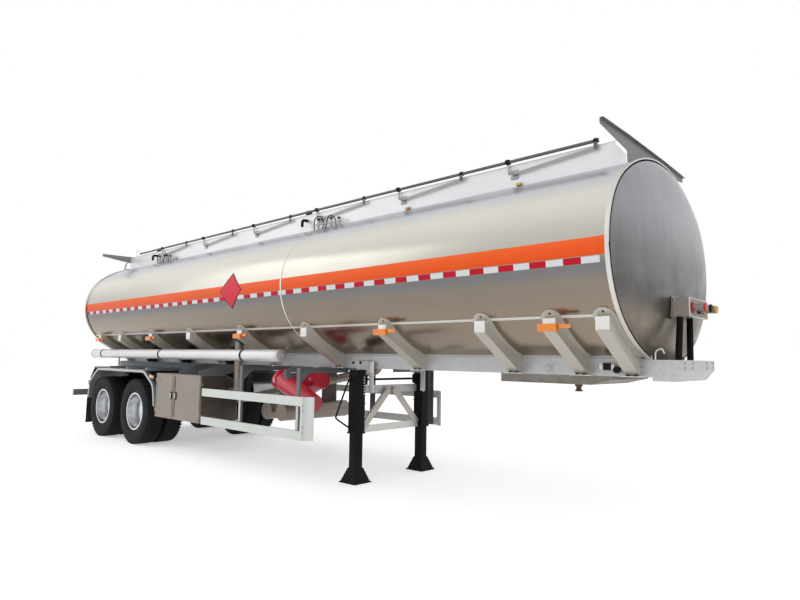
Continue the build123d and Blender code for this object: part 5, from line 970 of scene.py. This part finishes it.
class TRAILER_OT_connector_fittings(bpy.types.Operator):
    """Couplings, flange bolts, edges and handle of the connector box on the front head"""

    bl_idname = "trailer.connector_fittings"
    bl_label = "Connector fittings"

    def execute(self, context):
        low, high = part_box("connector_box")
        face, half, z = COUPLING_X, COUPLING_HALF - 0.003, COUPLING_Z
        red, yellow, black, edges, bolts = new_meshes(5)
        for bm, y in ((red, -0.160), (black, 0.0), (yellow, 0.160)):
            add_rod(bm, (face, y, z), (face + 0.016, y, z), 0.046, 24, bevel=0.004)
            start, end = (high[0] - 0.012, y, z), (high[0] + 0.006, y, z)
            add_rod(bm, start, end, 0.034, 20, bevel=0.004)
            at = (high[0] - 0.006, y + 0.026, z + 0.018)
            add_block(bm, at, (0.022, 0.040, 0.020), 0.004)
        for end in (-1, 1):
            y, rim = end * half, z + end * 0.077
            add_rod(edges, (face, y, z - 0.078), (face, y, z + 0.078), 0.004, 8)
            add_rod(edges, (face, -half, rim), (face, half, rim), 0.004, 8)
            for drop in (-0.062, 0.062):
                at = (5.283, end * (high[1] - 0.016), z + drop)
                add_bolt(bolts, at, (1, 0, 0), 0.010, 0.009)
        for y in (-0.24, -0.08, 0.08, 0.24):
            for drop in (-0.062, 0.062):
                add_bolt(bolts, (face, y, z + drop), (1, 0, 0), 0.007, 0.006)
        add_block(black, (5.345, 0.272, z), (0.070, 0.026, 0.070), 0.006)
        handle = ((5.345, 0.280, z), (5.345, 0.330, z), (5.410, 0.342, z + 0.045))
        pipe_along(black, handle, 0.011)
        start, end = (5.404, 0.341, z + 0.040), (5.424, 0.345, z + 0.056)
        add_rod(yellow, start, end, 0.016, bevel=0.004)
        finish_parts(
            ("red_coupling", red, "signal red", "case_red"),
            ("yellow_coupling", yellow, "yellow cap", "lamp_amber"),
            ("black_couplings", black, "black plastic", "valve_black"),
            ("connector_edges", edges, "pale stub", "aluminium_plain"),
            ("connector_bolts", bolts, "zinc bolt", "steel_grey"),
        )
        return {"FINISHED"}


class TRAILER_OT_frame_fittings(bpy.types.Operator):
    """Bolts, discs and caps on the frame rails and on the front bumper"""

    bl_idname = "trailer.frame_fittings"
    bl_label = "Frame fittings"

    def execute(self, context):
        low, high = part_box("front_bumper")
        discs, bolts, dark, rings, hook = new_meshes(5)
        plate_x, plate_z, cap_x, cap_z = 4.785, 1.400, 4.874, 1.373
        for _, side in SIDES:
            for x in (4.650, 5.085, 4.227, 3.992):
                add_ring(rings, (x, side * 0.4705, 1.375), (0, 1, 0), 0.028, 0.003, 28)
            add_block(dark, (plate_x, side * 0.474, plate_z), (0.070, 0.010, 0.060), 0.003)
            for along in (-0.052, 0.052):
                at = (plate_x + along, side * 0.475, plate_z)
                add_block(discs, at, (0.030, 0.012, 0.050), 0.004)
            start, end = (cap_x, side * 0.466, cap_z), (cap_x, side * 0.500, cap_z)
            add_rod(dark, start, end, 0.030, 20, bevel=0.005)
            for x in (5.17, 5.24, 5.31):
                for z in (1.345, 1.435):
                    add_bolt(bolts, (x, side * high[1], z), (0, side, 0), 0.009, 0.008)
        for y in (-0.40, -0.20, 0.20, 0.40):
            for z in (1.400, 1.440):
                add_bolt(bolts, (high[0], y, z), (1, 0, 0), 0.009, 0.008)
        path = ((5.172, 1.455), (5.172, 1.535), (5.225, 1.560), (5.245, 1.515))
        pipe_along(hook, [(x, -0.420, z) for x, z in path], 0.007, 0.025)
        finish_parts(
            ("bumper_hook", hook, "pale stub", "steel_grey"),
            ("frame_rings", rings, "grey post", "steel_grey"),
            ("frame_caps", discs, "pale stub", "aluminium_plain"),
            ("frame_bolts", bolts, "zinc bolt", "steel_grey"),
            ("frame_dark_fittings", dark, "black plastic", "steel_black"),
        )
        return {"FINISHED"}


class TRAILER_OT_cabinet_fittings(bpy.types.Operator):
    """Frames, latches and hinge plates on the two cabinet doors, and end panels that carry painted
    shade on the cabinet's ends
    """

    bl_idname = "trailer.cabinet_fittings"
    bl_label = "Cabinet fittings"

    def execute(self, context):
        face, middle, tall = DOOR_Y, (DOOR_LOW_Z + DOOR_HIGH_Z) / 2, DOOR_HIGH_Z - DOOR_LOW_Z
        for name, x0, x1, hinge in (("front", -1.434, -0.692, 1), ("rear", -1.998, -1.446, -1)):
            edges, dark, pale = new_meshes(3)
            for x in (x0 + 0.012, x1 - 0.012):
                add_block(edges, (x, face - 0.001, middle), (0.020, 0.004, tall), 0.0012)
            for z in (DOOR_LOW_Z + 0.012, DOOR_HIGH_Z - 0.012):
                size = (x1 - x0 - 0.044, 0.0036, 0.020)
                add_block(edges, ((x0 + x1) / 2, face - 0.0012, z), size, 0.0012)
            split = x0 + 0.030 if hinge == 1 else x1 - 0.030
            latch = split + hinge * 0.030
            add_block(dark, (split, face - 0.001, middle), (0.014, 0.004, tall - 0.05), 0.001)
            add_block(dark, (latch, face - 0.006, 0.850), (0.040, 0.014, 0.110), 0.004)
            add_rod(pale, (latch, face - 0.012, 0.870), (latch, face - 0.018, 0.870), 0.014, 20)
            add_block(pale, (latch, face - 0.016, 0.832), (0.018, 0.008, 0.050), 0.003)
            finish_parts(
                (f"door_frame_{name}", edges, "warm stainless", "stainless_warm"),
                (f"door_strip_{name}", dark, "black plastic", "steel_black"),
                (f"door_latch_{name}", pale, "pale stub", "steel_grey"),
                body=f"cabinet_door_{name}",
            )
        # Painted shade: thin panels in a darker copy of the cabinet's warm stainless, laid over
        # both end faces.
        panels = bmesh.new()
        for x, way in ((-0.680, 1), (-2.010, -1)):
            corners = [panels.verts.new((x - way * 0.001, y, z)) for y, z in CABINET_END]
            grown = bmesh.ops.extrude_face_region(panels, geom=[panels.faces.new(corners)])
            moved = [item for item in grown["geom"] if isinstance(item, bmesh.types.BMVert)]
            bmesh.ops.translate(panels, verts=moved, vec=(way * 0.003, 0, 0))
        finish_piece("cabinet_end_shade_panels", panels, "cabinet side", "stainless_warm")
        return {"FINISHED"}


class TRAILER_OT_guard_fittings(bpy.types.Operator):
    """Perforated strips on the guard posts, their holes drawn as black discs of painted shade, and
    bolts on the rounded end posts
    """

    bl_idname = "trailer.guard_fittings"
    bl_label = "Guard fittings"

    def execute(self, context):
        strips, holes, bolts = new_meshes(3)
        for side, stations in ((-1, (0.290, 1.470)), (1, (-1.270, 0.290, 1.470))):
            near, far = side * (GUARD_POST_Y + 0.0015), side * (GUARD_POST_Y + 0.0025)
            for x in stations:
                add_block(strips, (x, side * GUARD_POST_Y, 0.749), (0.034, 0.004, 0.262), 0.001)
                # Painted shade: a black disc stands in for each hole in the strip.
                for i in range(9):
                    z = 0.645 + 0.026 * i
                    add_rod(holes, (x, near, z), (x, far, z), 0.0055, 12)
        for _, side in SIDES:
            for z in (0.600, 0.660, 0.840, 0.900):
                add_bolt(bolts, (1.600, side * GUARD_OUT_Y, z), (0, side, 0), 0.009, 0.006)
        finish_parts(
            ("guard_strips", strips, "pale stub", "guard_white"),
            ("guard_strip_holes", holes, "black paint", "steel_black"),
            ("guard_bolts", bolts, "zinc bolt", "steel_grey"),
        )
        return {"FINISHED"}


class TRAILER_OT_tube_fittings(bpy.types.Operator):
    """Straps and end caps on the hose tubes, and liners, mounts and lamps at the fenders"""

    bl_idname = "trailer.tube_fittings"
    bl_label = "Tube fittings"

    def execute(self, context):
        straps, caps, amber, clear, red, liner, mounts = new_meshes(7)
        strap = ((-0.020, 0.0755), (0.020, 0.0755), (0.020, 0.0800), (-0.020, 0.0800))
        for _, side in SIDES:
            y, z = side * TUBE_Y, TUBE_Z
            for x in (-4.548, -2.250, 0.101):
                outline = [(x + a, y, z + r) for a, r in strap]
                spin_profile(straps, outline, (x, y, z), (1, 0, 0), 32)
            for x, way in ((0.900, 1), (-5.000, -1)):
                start, end = (x - way * 0.050, y, z), (x + way * 0.012, y, z)
                add_rod(caps, start, end, 0.080, 32, bevel=0.006)
                add_ring(caps, (x + way * 0.016, y, z), (0, 1, 0), 0.024, 0.004, 20)
            y = side * 0.905
            add_block(liner, (FENDER_X, y, 1.187), (FENDER_LENGTH, *LINER_SIZE[1:]))
            for x, z, way in ((-2.145, 1.100, 1), (-4.630, 1.100, -1)):
                lean = Matrix.Rotation(way * math.radians(45), 4, "Y")
                add_block(liner, (x - way * 0.012, y, z - 0.010), LINER_SIZE, turn=lean)
            add_block(liner, (FENDER_X, side * 0.596, 1.040), (FENDER_LENGTH, 0.003, 0.290))
            for x in (-3.780, -2.490, -1.100):
                add_block(mounts, (x, side * 0.505, 1.372), (0.180, 0.075, 0.110), 0.006)
                start, end = (x, side * 0.542, 1.372), (x, side * 0.585, 1.372)
                add_rod(mounts, start, end, 0.048, 24, bevel=0.008)
            add_block(amber, (-2.125, side * 1.244, 1.100), (0.080, 0.014, 0.046), 0.005)
            add_block(clear, (-2.198, side * 1.243, 1.110), (0.056, 0.012, 0.046), 0.005)
            add_block(red, (-4.690, side * 1.243, 0.920), (0.050, 0.012, 0.090), 0.005)
        finish_parts(
            ("fender_liners", liner, "black paint", "steel_black"),
            ("subframe_mounts", mounts, "black paint", "steel_black"),
            ("hose_tube_straps", straps, "black plastic", "steel_black"),
            ("hose_tube_caps", caps, "satin aluminium", "aluminium_polished"),
            ("fender_lamps_amber", amber, "amber lens", "lamp_amber"),
            ("fender_lamps_clear", clear, "clear lens", "guard_white"),
            ("fender_lamps_red", red, "red lens", "lamp_red"),
        )
        return {"FINISHED"}


class TRAILER_OT_leg_fittings(bpy.types.Operator):
    """Brackets, brace plates, collars, strips and bolts on the landing legs"""

    bl_idname = "trailer.leg_fittings"
    bl_label = "Leg fittings"

    def execute(self, context):
        pale, dark, bolts, strips, braces = new_meshes(5)
        add_block(pale, (LEG_X + 0.0085, 0, 0.603), (0.007, 1.020, 0.086), 0.001)
        for _, side in SIDES:
            y, strip_y = side * LEG_Y, side * LEG_Y - side * STRIP_IN
            top = Vector((LEG_X + 0.0165, side * 0.040, 1.072))
            foot = Vector((LEG_X + 0.0165, side * 0.494, 0.615))
            lean = Matrix.Rotation(math.atan2(foot.y - top.y, top.z - foot.z), 4, "X")
            size = (0.007, 0.086, (top - foot).length)
            add_block(braces, (top + foot) / 2, size, 0.001, turn=lean)
            add_block(pale, (LEG_X + 0.121, side * 0.4735, 1.215), (0.078, 0.006, 0.370), 0.001)
            add_block(dark, (LEG_X, y, 0.568), (0.153, 0.153, 0.022), 0.004)
            add_block(dark, (LEG_X, y, 0.905), (0.150, 0.150, 0.012), 0.003)
            add_block(strips, (LEG_X + 0.074, strip_y, 1.120), (0.004, 0.038, 0.240), 0.001)
            for i in range(7):
                z = 1.020 + 0.032 * i
                start, end = (LEG_X + 0.0755, strip_y, z), (LEG_X + 0.0770, strip_y, z)
                add_rod(pale, start, end, 0.009, 12)
            for along in (-0.060, 0.060):
                for z in (1.285, 1.385):
                    add_bolt(bolts, (LEG_X + along, side * 0.599, z), (0, side, 0), 0.013, 0.012)
            for along in (-0.110, 0.110):
                for out in (-0.110, 0.110):
                    add_bolt(bolts, (LEG_X + along, y + out, 0.012), (0, 0, 1), 0.011, 0.010)
        finish_parts(
            ("leg_strips", strips, "black plastic", "steel_black"),
            ("leg_brace_plates", braces, "beige arm", "frame_silver"),
            ("leg_brackets_and_bar", pale, "pale stub", "frame_silver"),
            ("leg_collars", dark, "black paint", "steel_black"),
            ("leg_bolts", bolts, "dark running gear", "steel_grey"),
        )
        return {"FINISHED"}


class TRAILER_OT_case_fittings(bpy.types.Operator):
    """Latches on the red extinguisher cases, and the plate of their hanger"""

    bl_idname = "trailer.case_fittings"
    bl_label = "Case fittings"

    def execute(self, context):
        plate, latches = new_meshes(2)
        for x, z, y, way in ((0.760, 1.150, -0.900, 1), (1.130, 1.170, -0.620, -1)):
            axis = Vector((way * math.cos(CASE_LEAN), 0, -math.sin(CASE_LEAN)))
            up = Vector((way * math.sin(CASE_LEAN), 0, math.cos(CASE_LEAN)))
            start = Vector((x, y, z))
            at = start + up * CASE_RADIUS + axis * 0.012
            add_block(latches, at, (0.050, 0.030, 0.012), 0.003, turn=turn_to(up))
            at = start + Vector((0, -CASE_RADIUS, 0)) + axis * 0.012
            add_block(latches, at, (0.030, 0.014, 0.050), 0.003)
        add_block(plate, (0.945, -0.885, 1.249), (0.170, 0.120, 0.012), 0.002)
        finish_parts(
            ("case_hanger_plate", plate, "beige arm", "aluminium_plain"),
            ("case_latches", latches, "zinc bolt", "steel_grey"),
        )
        return {"FINISHED"}


class TRAILER_OT_top_fittings(bpy.types.Operator):
    """Lamps, flange line, valve stems with their hoses, vent loop and manhole bolts"""

    bl_idname = "trailer.top_fittings"
    bl_label = "Top fittings"

    def execute(self, context):
        line, stems, lenses, dark, bolts = new_meshes(5)
        for _, side in SIDES:
            add_block(line, (0.0, side * 0.5025, 3.369), (9.900, 0.006, 0.009), 0.002)
            for x in (2.514, 3.969, -3.018):
                add_block(stems, (x, side * 0.532, 3.153), (0.062, 0.034, 0.030), 0.006)
                add_block(lenses, (x, side * 0.551, 3.150), (0.050, 0.010, 0.022), 0.004)
        y, foot = VALVES_Y, VALVE_FOOT_Z
        for x in VALVES_X:
            for loop in (
                ((0.0, foot), (-0.02, 3.27), (0.12, 3.30), (0.20, 3.17), (0.15, foot)),
                ((0.22, foot), (0.27, 3.28), (0.40, 3.24), (0.43, foot)),
            ):
                pipe_along(dark, [(x + along, y, z) for along, z in loop], 0.007, 0.08)
            for along, top in ((0.075, 3.235), (0.330, 3.220), (0.480, 3.200)):
                stem = x + along
                add_rod(stems, (stem, y, foot - 0.006), (stem, y, top), 0.017, bevel=0.003)
                add_rod(dark, (stem, y, top - 0.002), (stem, y, top + 0.022), 0.022, bevel=0.005)
            add_rod(stems, (x + 0.030, y, 3.180), (x + 0.520, y, 3.165), 0.010, 12)
        path = ((-4.72, 3.34), (-4.72, 3.50), (-4.61, 3.50), (-4.61, 3.34))
        pipe_along(line, [(x, -0.497, z) for x, z in path], 0.008, 0.05)
        for x in MANHOLE_X:
            for i in range(MANHOLE_BOLTS):
                angle = math.tau * i / MANHOLE_BOLTS
                along, out = MANHOLE_BOLT_CIRCLE * math.cos(angle), math.sin(angle)
                at = (x + along, MANHOLE_BOLT_CIRCLE * out, COVER_TOP_Z)
                add_bolt(bolts, at, (0, 0, 1), 0.009, 0.008)
        finish_parts(
            ("coaming_line", line, "pale stub", "aluminium_plain"),
            ("valve_stems_and_lamp_bodies", stems, "grey post", "steel_grey"),
            ("coaming_lamp_lenses", lenses, "yellow cap", "lamp_amber"),
            ("valve_hoses_and_knobs", dark, "black plastic", "valve_black"),
            ("manhole_bolts", bolts, "zinc bolt", "steel_grey"),
        )
        return {"FINISHED"}


class TRAILER_OT_tyres(bpy.types.Operator):
    """Tyres with grooved treads, moulded walls and beads, one piece for each pair"""

    bl_idname = "trailer.tyres"
    bl_label = "Tyres"

    def execute(self, context):
        deep = TYRE_R - context.scene.trailer_sizes.tread_depth
        tread = [(TREAD_HALF, TYRE_R)]
        for y in TREAD_GROOVES:
            tread += [(y + 0.007, TYRE_R), (y + 0.005, deep)]
            tread += [(y - 0.005, deep), (y - 0.007, TYRE_R)]
        tread += [(-TREAD_HALF, TYRE_R)]
        outline = [*TYRE_BEAD, *TYRE_WALL, *tread, *((-y, r) for y, r in reversed(TYRE_WALL))]
        for axle, axle_x in zip(AXLE_NAMES, AXLE_X):
            for side_name, side in SIDES:
                bm = bmesh.new()
                for centre_y in TWIN_CENTRES:
                    y0 = side * centre_y
                    profile = [(axle_x, y0 + y, TYRE_R + r) for y, r in outline]
                    spin_profile(bm, profile, (axle_x, 0, TYRE_R), (0, 1, 0), 96)
                    for i in range(TYRE_LUGS):
                        turn = Matrix.Rotation(math.tau * i / TYRE_LUGS, 4, "Y")
                        at = turn @ Vector((0, 0, TYRE_R - 0.017))
                        shoulder = (1 if i % 2 else -1) * 0.1135
                        centre = (axle_x + at.x, y0 + shoulder, TYRE_R + at.z)
                        add_block(bm, centre, (0.031, 0.036, 0.028), turn=turn)
                name, body = f"tyre_pair_{axle}_{side_name}", f"wheels_{axle}_{side_name}"
                piece = finish_piece(name, bm, "tyre rubber", "tyre_rubber", body)
                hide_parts(f"tyres_{axle}_{side_name}")
        return {"FINISHED"}


OPERATORS = (
    TRAILER_OT_stage,
    TRAILER_OT_finishes,
    TRAILER_OT_shell_trim,
    TRAILER_OT_band,
    TRAILER_OT_diamond,
    TRAILER_OT_arm_fittings,
    TRAILER_OT_handrail_fittings,
    TRAILER_OT_connector_fittings,
    TRAILER_OT_frame_fittings,
    TRAILER_OT_cabinet_fittings,
    TRAILER_OT_guard_fittings,
    TRAILER_OT_tube_fittings,
    TRAILER_OT_leg_fittings,
    TRAILER_OT_case_fittings,
    TRAILER_OT_top_fittings,
    TRAILER_OT_tyres,
)


class TRAILER_PT_panel(bpy.types.Panel):
    """Lists the pieces and their sizes"""

    bl_idname = "TRAILER_PT_panel"
    bl_label = "Tank semi-trailer"
    bl_space_type = "VIEW_3D"
    bl_region_type = "UI"
    bl_category = "Trailer"

    def draw(self, context):
        for operator in OPERATORS:
            self.layout.operator(operator.bl_idname)
        for group in (context.scene.trailer_sizes, context.scene.trailer_stage):
            for name in group.__annotations__:
                self.layout.prop(group, name)


def register():
    for cls in (TrailerSizes, TrailerStage, *OPERATORS, TRAILER_PT_panel):
        bpy.utils.register_class(cls)
    bpy.types.Scene.trailer_sizes = bpy.props.PointerProperty(type=TrailerSizes)
    bpy.types.Scene.trailer_stage = bpy.props.PointerProperty(type=TrailerStage)


def unregister():
    del bpy.types.Scene.trailer_stage
    del bpy.types.Scene.trailer_sizes
    for cls in reversed((TrailerSizes, TrailerStage, *OPERATORS, TRAILER_PT_panel)):
        bpy.utils.unregister_class(cls)


def main():
    register()
    for operator in OPERATORS:
        group, name = operator.bl_idname.split(".")
        getattr(getattr(bpy.ops, group), name)()


if __name__ == "__main__":
    main()
